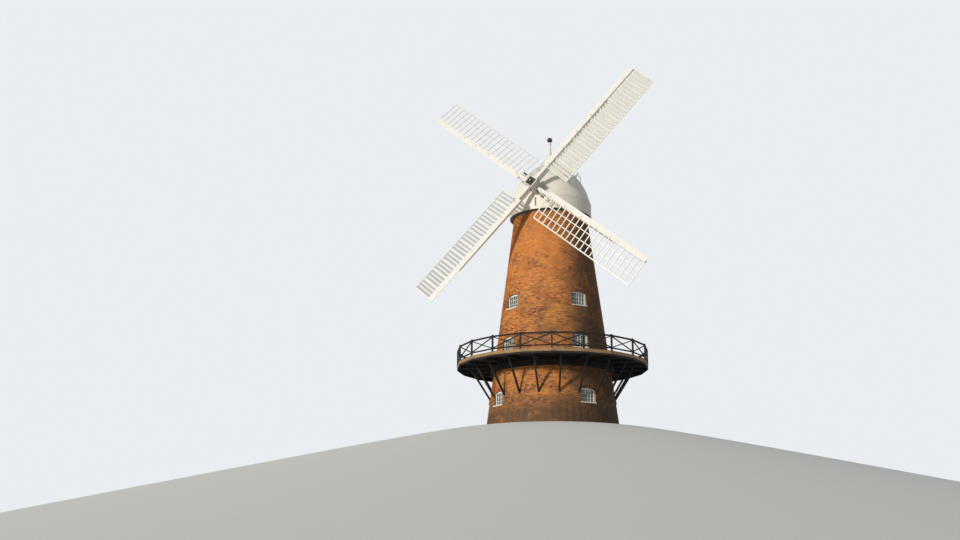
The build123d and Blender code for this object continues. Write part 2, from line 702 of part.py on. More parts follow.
def sail_way(radius):
    """Direction across the sail at a radius: the weather angle eases from heel to tip."""
    share = (radius - SAIL_HEEL) / (SAIL_RADIUS - SAIL_HEEL)
    heel = Vector(cos(radians(HEEL_WEATHER)), sin(radians(HEEL_WEATHER)), 0)
    tip = Vector(cos(radians(TIP_WEATHER)), sin(radians(TIP_WEATHER)), 0)
    return heel * (1 - share) + tip * share


def sail_point(radius, across, back=0.0):
    """Point of the twisted sail surface, moved back from it at right angles."""
    way = sail_way(radius)
    return Vector(0, 0, radius) + way * across + Vector(-way.Y, way.X, 0) * back


def lath(across, width, depth, back=0.0):
    """Straight lath along the sail, its width across it."""
    start, end = sail_point(SAIL_HEEL, across, back), sail_point(SAIL_RADIUS, across, back)
    return beam(start, end, depth, width, sail_way((SAIL_HEEL + SAIL_RADIUS) / 2))


def bar_radii(bays):
    """Distances from the shaft of the sail bars."""
    step = (SAIL_RADIUS - SAIL_HEEL - BAR_WIDTH) / bays
    return [SAIL_HEEL + BAR_WIDTH / 2 + step * index for index in range(bays + 1)]


def sail_frame(bays):
    """Whip, sail bars, hemlath and leading board of one sail, fused."""
    half, depth = WHIP_WIDTH / 2, WHIP_DEPTH / 2
    whip = plain_box(-half, half, -depth, depth, WHIP_START, SAIL_RADIUS)
    edge = SAIL_WIDTH - HEMLATH_WIDTH / 2
    bars = [beam(sail_point(radius, 0), sail_point(radius, edge), BAR_DEPTH, BAR_WIDTH)
            for radius in bar_radii(bays)]
    frame = whip.fuse(*bars, lath(edge, HEMLATH_WIDTH, HEMLATH_DEPTH))
    left, back = -half - LEADING_BOARD_WIDTH, -depth + LEADING_BOARD_DEPTH
    return frame + plain_box(left, -half, -depth, back, SAIL_HEEL, SAIL_RADIUS)


def common_sail():
    """Sail with close bars and uplongs nailed on behind them."""
    back = (BAR_DEPTH + UPLONG_DEPTH) / 2 + UPLONG_GAP
    step = SAIL_WIDTH / (UPLONG_COUNT + 1)
    uplongs = [lath(step * (index + 1), UPLONG_WIDTH, UPLONG_DEPTH, back)
               for index in range(UPLONG_COUNT)]
    return [sail_frame(COMMON_BAYS), *uplongs]


def shutters():
    """Half open shutters of one sail, spaced so that they would close between the bars."""
    radii = bar_radii(PATENT_BAYS)
    step = (radii[1] - radii[0] - BAR_WIDTH) / SHUTTERS_PER_BAY
    weather, opened = radians(HEEL_WEATHER), radians(SHUTTER_TURN)
    side = STOCK_SIZE / 2 + SHUTTER_CLEARANCE + SHUTTER_DEPTH / 2 * sin(weather)
    start, end = side / cos(weather), SAIL_WIDTH - HEMLATH_WIDTH - SHUTTER_END_GAP
    blades = []
    for radius in radii[:-1]:
        for index in range(SHUTTERS_PER_BAY):
            place = radius + BAR_WIDTH / 2 + step * (index + 0.5)
            way = sail_way(place)
            face = Vector(-way.Y * sin(opened), way.X * sin(opened), cos(opened))
            near, far = sail_point(place, start), sail_point(place, end)
            blades.append(beam(near, far, SHUTTER_DEPTH, SHUTTER_THICKNESS, face))
    return blades


# Fantail


def fan_wheel():
    """Bladed fan wheel on an axle that turns in the two posts."""
    axle_half = SHEER_SPACING / 2 - SHEER_WIDTH / 2 + FAN_POST_SIZE + FAN_AXLE_OUT
    wheel = Cylinder(FAN_HUB_RADIUS, FAN_HUB_LENGTH) + Cylinder(FAN_AXLE_RADIUS, 2 * axle_half)
    wheel = Rot(0, 90, 0) * wheel
    root, tip = FAN_BLADE_ROOT_WIDTH / 2, FAN_BLADE_TIP_WIDTH / 2
    outline = [(-root, FAN_BLADE_ROOT), (-tip, FAN_RADIUS), (tip, FAN_RADIUS), (root, FAN_BLADE_ROOT)]
    half = FAN_BLADE_THICKNESS / 2
    blade = Rot(0, 0, FAN_PITCH) * prism(Plane.YZ.offset(-half), outline, FAN_BLADE_THICKNESS)
    spoke = FAN_SPOKE_SIZE / 2
    blade += plain_box(-spoke, spoke, -spoke, spoke, 0, (FAN_BLADE_ROOT + FAN_RADIUS) / 2)
    for index in range(FAN_BLADES):
        wheel += Rot(FULL_TURN / FAN_BLADES * index, 0, 0) * blade
    return Pos(0, FAN_DISTANCE, FAN_Z) * wheel


def fan_posts():
    """Uprights on the tail beam, each with a stay from its sheer, and the rail between them."""
    inner = SHEER_SPACING / 2 - SHEER_WIDTH / 2
    middle = inner + FAN_POST_SIZE / 2
    foot = SHEER_TOP + TAIL_BEAM_DEPTH
    near, far = FAN_DISTANCE - FAN_POST_SIZE / 2, FAN_DISTANCE + FAN_POST_SIZE / 2
    rail = FAN_Z - FAN_RAIL_DROP
    frame = plain_box(-inner, inner, near, far, rail - FAN_POST_SIZE, rail)
    for side in (-1, 1):
        low, high = sorted((side * inner, side * (inner + FAN_POST_SIZE)))
        frame += plain_box(low, high, near, far, foot, FAN_Z + FAN_POST_ABOVE)
        stay_foot = Vector(side * middle, CAP_RADIUS + FAN_STAY_FOOT_GAP, SHEER_TOP)
        stay_head = Vector(side * middle, near, FAN_Z - FAN_STAY_DROP)
        spare = (stay_head - stay_foot).normalized() * FAN_STAY_SIZE
        stay = beam(stay_foot - spare, stay_head + spare, FAN_STAY_SIZE, FAN_STAY_SIZE)
        frame += stay & plain_box(low, high, CAP_RADIUS, FAN_DISTANCE, SHEER_TOP + SEAT_GAP, FAN_Z)
        bore = Rot(0, 90, 0) * Cylinder(FAN_AXLE_RADIUS + BEARING_GAP, FAN_POST_SIZE * 2)
        frame -= Pos(side * middle, FAN_DISTANCE, FAN_Z) * bore
    return frame


def tail_beam():
    """Beam across the tails of the sheers."""
    half = SHEER_SPACING / 2 + SHEER_WIDTH / 2
    near, far = FAN_DISTANCE - TAIL_BEAM_WIDTH / 2, FAN_DISTANCE + TAIL_BEAM_WIDTH / 2
    return plain_box(-half, half, near, far, SHEER_TOP, SHEER_TOP + TAIL_BEAM_DEPTH)


def save_tower():
    """Write the walls, windows, doors and floors."""
    for storey, (_, _, sill) in STOREYS.items():
        windowed, plain = wall_band(storey)
        save(f"{storey}_wall_piers", plain)
        save(f"{storey}_wall_windows", windowed)
        if sill is None:
            continue
        frames, panes = [], []
        for azimuth in WINDOW_COLUMNS:
            opening = opening_in(storey, azimuth)
            if azimuth == DOOR_COLUMNS.get(storey):
                save(f"{storey}_door", turned(azimuth) * door(*opening))
                continue
            place = turned(opening_azimuth(storey, azimuth))
            frames.append(place * window_frame(*opening))
            panes.append(place * window_glass(*opening))
        save(f"{storey}_window_frames", frames)
        save(f"{storey}_window_glass", panes)
    save("string_course", string_course())
    save("ground_floor", floor_disc(SLAB_DEPTH, SLAB_DEPTH))
    save("stage_floor", floor_disc(DECK_TOP, FLOOR_DEPTH))
    save("second_floor", floor_disc(SECOND_FLOOR, FLOOR_DEPTH))
    save("curb", curb())


def save_stage():
    """Write the stage and its railing."""
    save("stage_deck", [deck_panel(azimuth) for azimuth in POST_AZIMUTHS])
    save("stage_fascia", [fascia_board(azimuth) for azimuth in POST_AZIMUTHS])
    save("stage_joists", [joist(azimuth) for azimuth in JOIST_AZIMUTHS])
    save("stage_struts", [strut(azimuth) for azimuth in JOIST_AZIMUTHS])
    save("rail_posts", [rail_post(azimuth) for azimuth in POST_AZIMUTHS])
    save("railing", [rail_bay(azimuth) for azimuth in POST_AZIMUTHS])


def save_cap():
    """Write the cap, its frame, its finial and the fantail."""
    makers = (cap_dome, cap_hood, petticoat, cap_ring, sheers, weather_beam, tail_bearing, tail_beam)
    for maker in (*makers, finial_pole, finial_ball, fan_posts, fan_wheel):
        pieces = maker()
        solids = pieces if isinstance(pieces, list) else [pieces]
        save(maker.__name__, [CAP * solid for solid in solids])


def save_sails():
    """Write the windshaft, the stocks and the sails."""
    save("windshaft", MILL * windshaft())
    save("outer_stock", MILL * stock(OUTER_STOCK_Y, SAIL_TURN))
    quarter = FULL_TURN / SAIL_COUNT
    save("inner_stock", MILL * stock(INNER_STOCK_Y, SAIL_TURN + quarter))
    patent, common, blades = [sail_frame(PATENT_BAYS)], common_sail(), shutters()
    all_shutters = []
    for index in range(SAIL_COUNT):
        outer = index % 2 == 0
        depth = OUTER_WHIP_Y if outer else OUTER_WHIP_Y - STOCK_SPACING
        place = MILL * Rot(0, SAIL_TURN + quarter * index, 0) * Pos(0, -depth, 0)
        save(f"sail_{index + 1}", [place * solid for solid in (patent if outer else common)])
        if outer:
            all_shutters += [place * blade for blade in blades]
    save("sail_shutters", all_shutters)


def main():
    """Build and write every node."""
    os.makedirs(PARTS_FOLDER, exist_ok=True)
    save_tower()
    save_stage()
    save_cap()
    save_sails()


main()
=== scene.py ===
"""Looks of a brick tower windmill with a timber stage, a white cap, four sails and a fantail.

Metres, +Z up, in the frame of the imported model. Azimuths are counted from -Y, the front of the
mill, and grow towards +X. Every new surface is worked out as whole arrays, and its place is in its
points, so that each object stays at the origin.
"""

import logging
import math
from dataclasses import dataclass, field
from enum import Enum

import bpy
import numpy as np
from mathutils import Matrix


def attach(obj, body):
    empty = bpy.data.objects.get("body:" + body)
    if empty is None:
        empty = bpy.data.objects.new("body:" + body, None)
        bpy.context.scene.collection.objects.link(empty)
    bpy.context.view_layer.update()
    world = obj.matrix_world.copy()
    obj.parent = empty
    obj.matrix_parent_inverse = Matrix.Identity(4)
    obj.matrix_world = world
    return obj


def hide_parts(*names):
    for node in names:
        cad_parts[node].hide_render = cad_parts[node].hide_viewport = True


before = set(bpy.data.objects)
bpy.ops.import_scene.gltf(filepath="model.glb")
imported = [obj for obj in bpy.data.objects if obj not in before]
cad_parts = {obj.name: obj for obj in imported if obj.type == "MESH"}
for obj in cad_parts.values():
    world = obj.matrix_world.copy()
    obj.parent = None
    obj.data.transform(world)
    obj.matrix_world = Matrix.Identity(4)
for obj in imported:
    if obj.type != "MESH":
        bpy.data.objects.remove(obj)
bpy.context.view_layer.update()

Array = np.ndarray
Colour = tuple[float, float, float]
Size = tuple[float, float, float]
Stops = tuple[tuple[float, Colour], ...]
Shape = tuple[Array, list[Array]]
Socket = bpy.types.NodeSocket
LOG = logging.getLogger("windmill")
FULL_TURN = 2 * math.pi
RIGHT, BACK, UP = np.eye(3)
FRONT = np.array([0.0, -1.0, 0.0])
HERE = np.eye(4)


# Places and directions


def shift(x: float, y: float, z: float) -> Array:
    """Matrix that moves by a distance along each axis."""
    matrix = np.eye(4)
    matrix[:3, 3] = (x, y, z)
    return matrix


def turn(axis: int, degrees: float) -> Array:
    """Matrix of a right-handed turn about X, Y or Z, counted 0, 1 and 2."""
    first, second = (axis + 1) % 3, (axis + 2) % 3
    cosine, sine = math.cos(math.radians(degrees)), math.sin(math.radians(degrees))
    matrix = np.eye(4)
    matrix[first, first] = matrix[second, second] = cosine
    matrix[first, second], matrix[second, first] = -sine, sine
    return matrix


def moved(points: Array, matrix: Array) -> Array:
    """Points carried by a 4 by 4 matrix."""
    return points @ matrix[:3, :3].T + matrix[:3, 3]


def unit(vectors: Array) -> Array:
    """Vectors scaled to a length of one."""
    return vectors / np.linalg.norm(vectors, axis=-1, keepdims=True)


def joined(*coordinates: Array | float) -> Array:
    """Points from their coordinates, each an array or one value for all."""
    return np.stack(np.broadcast_arrays(*coordinates), axis=-1)


def round_the_axis(azimuth: Array, radius: Array, height: Array) -> Array:
    """Points at azimuths in radians, radii and heights: x = r sin a, y = -r cos a."""
    return joined(radius * np.sin(azimuth), -radius * np.cos(azimuth), height)


def around(start: Array, end: Array) -> Array:
    """Values start, end, end, start at the four corners of each board."""
    return np.stack([start, end, end, start], axis=1)


def along(first: Array, second: Array) -> Array:
    """Values first, first, second, second at the four corners of each board."""
    return np.stack([first, first, second, second], axis=1)


def arc(centre: Array, first: Array, last: Array, steps: int) -> Array:
    """Points of the arc about a centre from one point to another, by the shorter way."""
    angles = [math.atan2(*(point - centre)[::-1]) for point in (first, last)]
    swing = (angles[1] - angles[0] + math.pi) % FULL_TURN - math.pi
    angle = np.linspace(angles[0], angles[0] + swing, steps)
    return centre + np.linalg.norm(first - centre) * joined(np.cos(angle), np.sin(angle))


SHAFT_TILT = 12.2
SHAFT_HEIGHT = 15.8005
SAIL_TURN = 40.2
CAP_PLACE = turn(2, -20.9)
SHAFT_PLACE = shift(0.0, 0.0, SHAFT_HEIGHT) @ CAP_PLACE @ turn(0, -SHAFT_TILT)


# Surfaces


def tube_faces(rows: int, columns: int) -> list[Array]:
    """Quads of a tube on a grid of rows and wrapped columns, and the faces of its two ends."""
    index = np.arange(rows * columns).reshape(rows, columns)
    after = np.roll(index, -1, axis=1)
    side = np.stack([index[:-1], after[:-1], after[1:], index[1:]], axis=-1).reshape(-1, 4)
    return [side, index[:1, ::-1], index[-1:]]


def ring_faces(rows: int, columns: int) -> list[Array]:
    """Faces of a grid that is wrapped both ways, as on a ring of closed section."""
    index = np.arange(rows * columns).reshape(rows, columns)
    after, above = np.roll(index, -1, axis=1), np.roll(index, -1, axis=0)
    return [np.stack([index, after, np.roll(above, -1, axis=1), above], axis=-1).reshape(-1, 4)]


def lathe(radii: Array | list[float], heights: Array | list[float], sides: int) -> Shape:
    """Surface of revolution about Z, closed at both ends.

    The point at row i and angle t is (r cos t, r sin t, z), with the row's radius and height.
    """
    angle = np.linspace(0.0, FULL_TURN, sides, endpoint=False)
    radius, height = np.asarray(radii)[:, None], np.asarray(heights)[:, None]
    points = joined(radius * np.cos(angle), radius * np.sin(angle), height)
    return points.reshape(-1, 3), tube_faces(len(radii), sides)


def chamfered(width: float, depth: float, cut: float) -> Array:
    """Rectangle with cut corners, anticlockwise, as the section of a timber."""
    x, y = width / 2, depth / 2
    return np.array([(x, -y + cut), (x, y - cut), (x - cut, y), (-x + cut, y),
                     (-x, y - cut), (-x, -y + cut), (-x + cut, -y), (x - cut, -y)])


def places_between(starts: Array, ends: Array, up: Array) -> Array:
    """Matrices that stretch a bar of unit length from each start to its end.

    Args:
        starts: one start for each bar.
        ends: one end for each bar.
        up: direction that the section's second axis leans to, one for all or one for each.

    Returns:
        Matrices whose third axis is the bar's run and whose second leans towards up.
    """
    run = ends - starts
    side = unit(np.cross(np.broadcast_to(up, run.shape), run))
    matrices = np.zeros((len(run), 4, 4))
    matrices[:, :3] = np.stack([side, unit(np.cross(run, side)), run, starts], axis=-1)
    matrices[:, 3, 3] = 1.0
    return matrices


def places_facing(origins: Array, normals: Array) -> Array:
    """Matrices that set a fitting at each origin with its Z axis along a normal."""
    normals = unit(np.broadcast_to(normals, origins.shape))
    lean = np.where(np.abs(normals[:, 2:]) > 0.9, RIGHT, UP)
    return places_between(origins, origins + normals, lean)


BOLT = lathe([0.020, 0.020, 0.015], [-0.004, 0.012, 0.017], 6)
WASHER_BOLT = lathe([0.034, 0.034, 0.020, 0.020, 0.014], [-0.004, 0.004, 0.004, 0.018, 0.023], 8)
POST_CAP = lathe([0.066, 0.066, 0.05, 0.012], [0.0, 0.018, 0.034, 0.052], 4)
ROD_EYE = lathe([0.075, 0.085, 0.085, 0.075], [-0.03, -0.02, 0.02, 0.03], 16)
HUB_RING = lathe([0.118, 0.122, 0.122, 0.118], [-0.022, -0.016, 0.016, 0.022], 24)


def placed(name: str, data: bpy.types.ID, place: Array = HERE) -> bpy.types.Object:
    """Object made of some data, linked to the scene at a place."""
    thing = bpy.data.objects.new(name, data)
    thing.matrix_world = Matrix(place.tolist())
    bpy.context.scene.collection.objects.link(thing)
    return thing


def each(values: Array | float, count: int) -> Array:
    """One value for each of a count, from an array of them or from one value for all."""
    return np.broadcast_to(np.asarray(values, dtype=float), (count,))


@dataclass
class Shell:
    """Points, faces and tones of one piece, gathered from several surfaces."""

    points: list[Array] = field(default_factory=list)
    faces: list[Array] = field(default_factory=list)
    tones: list[Array] = field(default_factory=list)
    count: int = 0

    def add(self, points: Array, faces: list[Array], tone: float | Array = 0.5) -> None:
        """Add one surface.

        Args:
            points: its points, one a row.
            faces: arrays of faces, each of one number of corners.
            tone: one value for all its faces, or one for each face of each array in order.
        """
        self.tones.append(each(tone, sum(map(len, faces))))
        self.faces += [group + self.count for group in faces]
        self.points.append(points)
        self.count += len(points)

    def repeat(self, shape: Shape, places: Array, tones: Array | float = 0.5) -> None:
        """Add a copy of a shape at each place.

        Args:
            shape: points and faces of the shape.
            places: 4 by 4 matrices, in rows of any kind.
            tones: one value for all copies, or one a copy.
        """
        points, faces = shape
        places = places.reshape(-1, 4, 4)
        spread = np.einsum("nij,kj->nki", places[:, :3, :3], points) + places[:, None, :3, 3]
        steps = np.arange(len(places))[:, None, None] * len(points)
        groups = [(group[None] + steps).reshape(-1, group.shape[1]) for group in faces]
        values = [np.repeat(each(tones, len(places)), len(group)) for group in faces]
        self.add(spread.reshape(-1, 3), groups, np.concatenate(values))

    def bars(self, size: Size, starts: Array | list, ends: Array | list, up: Array,
             place: Array = HERE, tones: Array | float = 0.5) -> None:
        """Add a straight bar with chamfered edges from each start to its end.

        Args:
            size: width, depth and chamfer of the section.
            starts: one start for each bar.
            ends: one end for each bar, or the run from every start.
            up: direction of the section's depth.
            place: matrix, or matrices, that carry the bars.
            tones: one value for all bars, or one a bar.
        """
        section = chamfered(*size)
        points = np.stack([joined(*section.T, end) for end in (0.0, 1.0)]).reshape(-1, 3)
        starts, ends = np.asarray(starts), np.asarray(ends)
        ends = ends if ends.ndim > 1 else starts + ends
        places = place @ places_between(starts, ends, up)
        self.repeat((points, tube_faces(2, len(section))), places, tones)

    def fit(self, shape: Shape, spots: Array | list, normals: Array, place: Array = HERE) -> None:
        """Add a fitting at each spot, facing along its normal, and carry it to every place."""
        self.repeat(shape, place @ places_facing(np.asarray(spots), normals))

    def blocks(self, base: Array, face: Array, tones: Array | float = 0.5) -> None:
        """Add raised blocks, each between a back of four corners and a front of four corners.

        Args:
            base: corners of the backs, anticlockwise as seen from the front, n by 4 by 3.
            face: corners of the fronts in the same order.
            tones: one value for all blocks, or one a block.
        """
        corners = np.concatenate([base, face], axis=1)
        sides = np.array([(4, 5, 6, 7), (3, 2, 1, 0), (0, 1, 5, 4), (1, 2, 6, 5), (2, 3, 7, 6),
                          (3, 0, 4, 7)])
        faces = (np.arange(len(corners))[:, None, None] * 8 + sides[None]).reshape(-1, 4)
        self.add(corners.reshape(-1, 3), [faces], np.repeat(each(tones, len(corners)), len(sides)))

    def carry(self, matrix: Array) -> "Shell":
        """Move all that was gathered by a matrix."""
        self.points = [moved(points, matrix) for points in self.points]
        return self

    def piece(self, name: str, look: "Look", body: str, slot: str,
              smooth: bool = False) -> bpy.types.Object:
        """Make the object and hang it on its body.

        Args:
            name: name of the piece.
            look: finish of all its faces.
            body: body that it rides on.
            slot: material slot of the record; not used.
            smooth: whether its faces are shaded as one curved surface.

        Returns:
            The new object.
        """
        points = np.concatenate(self.points)
        corners = np.concatenate([group.ravel() for group in self.faces])
        sizes = np.concatenate([np.full(len(group), group.shape[1]) for group in self.faces])
        starts = np.cumsum(sizes) - sizes
        tones = np.repeat(np.concatenate(self.tones), sizes)
        mesh = bpy.data.meshes.new(name)
        for kind, number, key, values in (
                (mesh.vertices, len(points), "co", points.astype(np.float32).ravel()),
                (mesh.loops, len(corners), "vertex_index", corners.astype(np.int32)),
                (mesh.polygons, len(sizes), "loop_start", starts.astype(np.int32))):
            kind.add(number)
            kind.foreach_set(key, values)
        mesh.polygons.foreach_set("use_smooth", np.full(len(sizes), smooth))
        mesh.update(calc_edges=True)
        colours = mesh.color_attributes.new("tone", "FLOAT_COLOR", "CORNER")
        colours.data.foreach_set("color", joined(tones, tones, tones, 1.0).ravel())
        mesh.materials.append(look.value.material())
        thing = placed(name, mesh)
        if smooth:
            bpy.context.view_layer.objects.active = thing
            mesh.set_sharp_from_angle(angle=math.radians(40.0))
        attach(thing, body)
        LOG.info("piece %s: %d faces", name, len(sizes))
        return thing


# Finishes


@dataclass(frozen=True)
class Patch:
    """Colour laid on where noise rises from low to high, up to a share.

    The size is that of the noise's lumps in metres, and the stretch makes them thinner by axis.
    """

    colour: Colour
    size: float
    detail: float
    low: float
    high: float
    share: float
    stretch: Size | None = None


class Wiring:
    """Node tree of one material, joined a step at a time."""

    def __init__(self, name: str) -> None:
        """Start a material with nothing but its shader."""
        self.made = bpy.data.materials.new(name)
        self.made.use_nodes = True
        self.tree = self.made.node_tree
        self.shader = self.tree.nodes["Principled BSDF"]
        self.place = self.tree.nodes.new("ShaderNodeTexCoord").outputs["Object"]

    def join(self, node: bpy.types.Node, values: dict[str | int, object]) -> bpy.types.Node:
        """Set or link a node's inputs by name or number."""
        for key, value in values.items():
            if isinstance(value, Socket):
                self.tree.links.new(value, node.inputs[key])
            else:
                node.inputs[key].default_value = value
        return node

    def node(self, kind: str, values: dict[str | int, object], **settings: str) -> bpy.types.Node:
        """Add a node of a kind, with its settings and inputs."""
        node = self.tree.nodes.new(f"ShaderNode{kind}")
        for key, value in settings.items():
            setattr(node, key, value)
        return self.join(node, values)

    def noise(self, size: float, detail: float, stretch: Size | None = None) -> Socket:
        """Soft noise whose lumps are about a size in metres, thinner by axis if stretched."""
        where = self.place
        if stretch:
            where = self.node("Mapping", {"Vector": where, "Scale": stretch}).outputs[0]
        values = {"Vector": where, "Scale": 1.0 / size, "Detail": detail, "Roughness": 0.6}
        return self.node("TexNoise", values).outputs["Fac"]

    def ramp(self, factor: Socket, stops: Stops) -> Socket:
        """Colours blended along a factor."""
        node = self.node("ValToRGB", {"Fac": factor})
        elements = node.color_ramp.elements
        while len(elements) < len(stops):
            elements.new(0.5)
        for element, (place, colour) in zip(elements, stops):
            element.position, element.color = place, (*colour, 1.0)
        return node.outputs["Color"]

    def steep(self, factor: Socket, low: float, high: float, top: float = 1.0) -> Socket:
        """Factor spread so that low gives nothing and high gives top."""
        values = {"Value": factor, "From Min": low, "From Max": high, "To Max": top}
        return self.node("MapRange", values).outputs[0]

    def mix(self, factor: Socket, first: Socket | Colour, second: Socket | Colour) -> Socket:
        """Two colours mixed by a factor."""
        values = {0: factor, 6: first, 7: second}
        filled = {key: (*value, 1.0) if isinstance(value, tuple) else value
                  for key, value in values.items()}
        return self.node("Mix", filled, data_type="RGBA").outputs[2]

    def patched(self, colour: Socket | Colour, *patches: Patch) -> Socket:
        """Patches laid over a colour, one after the other."""
        for patch in patches:
            noise = self.noise(patch.size, patch.detail, patch.stretch)
            colour = self.mix(self.steep(noise, patch.low, patch.high, patch.share), colour,
                              patch.colour)
        return colour

    def zone(self, colour: Socket, axis: str, start: float, full: float, patch: Patch) -> Socket:
        """Patches that grow along an axis, from none at its start to their share at full.

        Args:
            colour: colour below.
            axis: X, Y or Z.
            start: place on the axis where they start, in metres.
            full: place where they reach their share.
            patch: the patches.

        Returns:
            The colour with the patches on it.
        """
        place = self.node("SeparateXYZ", {0: self.place}).outputs[axis]
        ragged = self.steep(self.noise(patch.size, patch.detail), patch.low, patch.high)
        values = {0: self.steep(place, start, full, patch.share), 1: ragged}
        factor = self.node("Math", values, operation="MULTIPLY").outputs[0]
        return self.mix(factor, colour, patch.colour)

    def tone(self) -> Socket:
        """Tone that each face was given."""
        return self.node("Attribute", {}, attribute_name="tone").outputs["Fac"]

    def finish(self, colour: Socket, rough: tuple[float, float], height: Socket, lift: float,
               metal: float = 0.0) -> bpy.types.Material:
        """Close the material.

        Args:
            colour: base colour.
            rough: lowest and highest roughness, spread by the height.
            height: bump's height.
            lift: depth of the bump in metres.
            metal: metallic value.

        Returns:
            The finished material.
        """
        spread = self.node("MapRange", {"Value": height, "To Min": rough[0], "To Max": rough[1]})
        bump = self.node("Bump", {"Height": height, "Distance": lift, "Strength": 0.8})
        self.join(self.shader, {"Base Color": colour, "Roughness": spread.outputs[0],
                                "Normal": bump.outputs[0], "Metallic": metal})
        return self.made


@dataclass(frozen=True)
class Finish:
    """A finish that makes its material once and hands it to every piece."""

    name: str

    def wire(self, wiring: Wiring) -> bpy.types.Material:
        """Join the nodes of this finish."""
        raise NotImplementedError

    def material(self) -> bpy.types.Material:
        """Material of this finish, made at its first use."""
        found = bpy.data.materials.get(self.name)
        return found or self.wire(Wiring(self.name))


@dataclass(frozen=True)
class BrickFinish(Finish):
    """Weathered brick, each one of its own tone, with sooty and pale patches over many.

    The upper storeys are bleached, the brick darkens towards the foot, and the flank towards +X
    carries painted shade.
    """

    stops: Stops
    soot: Colour = (0.075, 0.026, 0.012)
    bright: Colour = (0.78, 0.34, 0.055)
    bleached: Colour = (0.86, 0.27, 0.035)
    # Colour that the brick darkens to towards the foot.
    darker_foot: Colour = (0.060, 0.026, 0.013)
    # Painted shade: colour that darkens the flank turned away from the key lamp.
    stain_and_painted_shade: Colour = (0.040, 0.026, 0.018)
    bloom: Colour = (0.66, 0.44, 0.22)

    def wire(self, wiring: Wiring) -> bpy.types.Material:
        """Tone of the brick, then patches, dashes and bloom, then bleaching, a darker foot and
        painted shade on the +X flank.
        """
        colour = wiring.patched(
            wiring.ramp(wiring.tone(), self.stops),
            Patch(self.soot, 0.03, 4.0, 0.42, 0.78, 0.35),
            Patch(self.soot, 1.5, 4.0, 0.50, 0.64, 0.60),
            Patch(self.soot, 0.55, 2.0, 0.56, 0.64, 0.65, (1.0, 1.0, 6.0)),
            Patch(self.bright, 1.0, 4.0, 0.50, 0.66, 0.50, (1.0, 1.0, 1.8)),
            Patch(self.bloom, 0.2, 2.0, 0.60, 0.66, 0.50, (1.0, 1.0, 2.5)))
        for axis, start, full, patch in (
                ("Z", 7.5, 12.0, Patch(self.bleached, 1.1, 3.0, 0.30, 0.55, 0.60)),
                # The brick darkens towards the foot, from 2.2 m down to 0.9 m.
                ("Z", 2.2, 0.9, Patch(self.darker_foot, 0.9, 4.0, 0.20, 0.45, 0.92)),
                # Painted shade: the +X flank is darkened as if turned from the light and shaded by
                # the sails.
                ("X", 0.6, 1.9, Patch(self.stain_and_painted_shade, 1.3, 4.0, 0.20, 0.48, 0.84))):
            colour = wiring.zone(colour, axis, start, full, patch)
        wiring.shader.inputs["Specular IOR Level"].default_value = 0.2
        return wiring.finish(colour, (0.78, 0.95), wiring.noise(0.03, 4.0), 0.004)


@dataclass(frozen=True)
class PaintFinish(Finish):
    """Old paint on timber: board tones, rain streaks, dirt in patches and fine brush bump."""

    colour: Colour
    stain_and_painted_shade: Colour
    stain_share: float = 0.35
    tone_share: float = 0.12
    rough: tuple[float, float] = (0.38, 0.62)

    def wire(self, wiring: Wiring) -> bpy.types.Material:
        """Paint, darker by tone, stained along the streaks and flecked."""
        tone = wiring.steep(wiring.tone(), 0.0, 1.0, self.tone_share)
        colour = wiring.patched(
            wiring.mix(tone, self.colour, self.stain_and_painted_shade),
            Patch(self.stain_and_painted_shade, 0.16, 4.0, 0.46, 0.76, self.stain_share, (1.0, 1.0, 0.12)),
            Patch(self.stain_and_painted_shade, 0.7, 3.0, 0.50, 0.80, self.stain_share * 0.6),
            Patch(self.stain_and_painted_shade, 0.012, 2.0, 0.66, 0.78, 0.12))
        return wiring.finish(colour, self.rough, wiring.noise(0.012, 2.0), 0.0012)


@dataclass(frozen=True)
class TimberFinish(Finish):
    """Bare or tarred timber with grain along one axis, worn paler in patches."""

    dark: Colour
    light: Colour
    wear: Colour
    grain: Size = (1.0, 1.0, 0.08)
    wear_share: float = 0.3
    rough: tuple[float, float] = (0.62, 0.9)

    def wire(self, wiring: Wiring) -> bpy.types.Material:
        """Grain between two tones, with wear in patches."""
        toned = wiring.mix(wiring.steep(wiring.tone(), 0.0, 1.0, 0.5), self.dark, self.light)
        worn = wiring.patched(toned, Patch(self.light, 0.014, 5.0, 0.35, 0.70, 0.8, self.grain),
                              Patch(self.wear, 0.4, 4.0, 0.52, 0.72, self.wear_share))
        return wiring.finish(worn, self.rough, wiring.noise(0.014, 5.0, self.grain), 0.003)


@dataclass(frozen=True)
class IronFinish(Finish):
    """Painted cast or wrought iron with rust where the paint has gone."""

    colour: Colour
    rust: Colour = (0.16, 0.06, 0.025)
    metal: float = 0.55

    def wire(self, wiring: Wiring) -> bpy.types.Material:
        """Paint over pitted metal, rusted in spots."""
        rusted = wiring.patched(self.colour, Patch(self.rust, 0.09, 5.0, 0.54, 0.68, 0.7))
        return wiring.finish(rusted, (0.4, 0.75), wiring.noise(0.008, 4.0), 0.0015, self.metal)


@dataclass(frozen=True)
class GlassFinish(Finish):
    """Old window glass, slightly uneven and dusty, darkened with painted shade of the room behind.
    """

    colour: Colour
    dust: Colour

    def wire(self, wiring: Wiring) -> bpy.types.Material:
        """Reflecting pane darkened with painted shade of the room behind, dusty in patches, with a
        gentle wave.
        """
        dusty = wiring.patched(self.colour, Patch(self.dust, 0.2, 3.0, 0.45, 0.75, 0.5))
        wiring.join(wiring.shader, {"Transmission Weight": 0.35, "IOR": 1.5})
        return wiring.finish(dusty, (0.03, 0.12), wiring.noise(0.12, 1.0), 0.002)


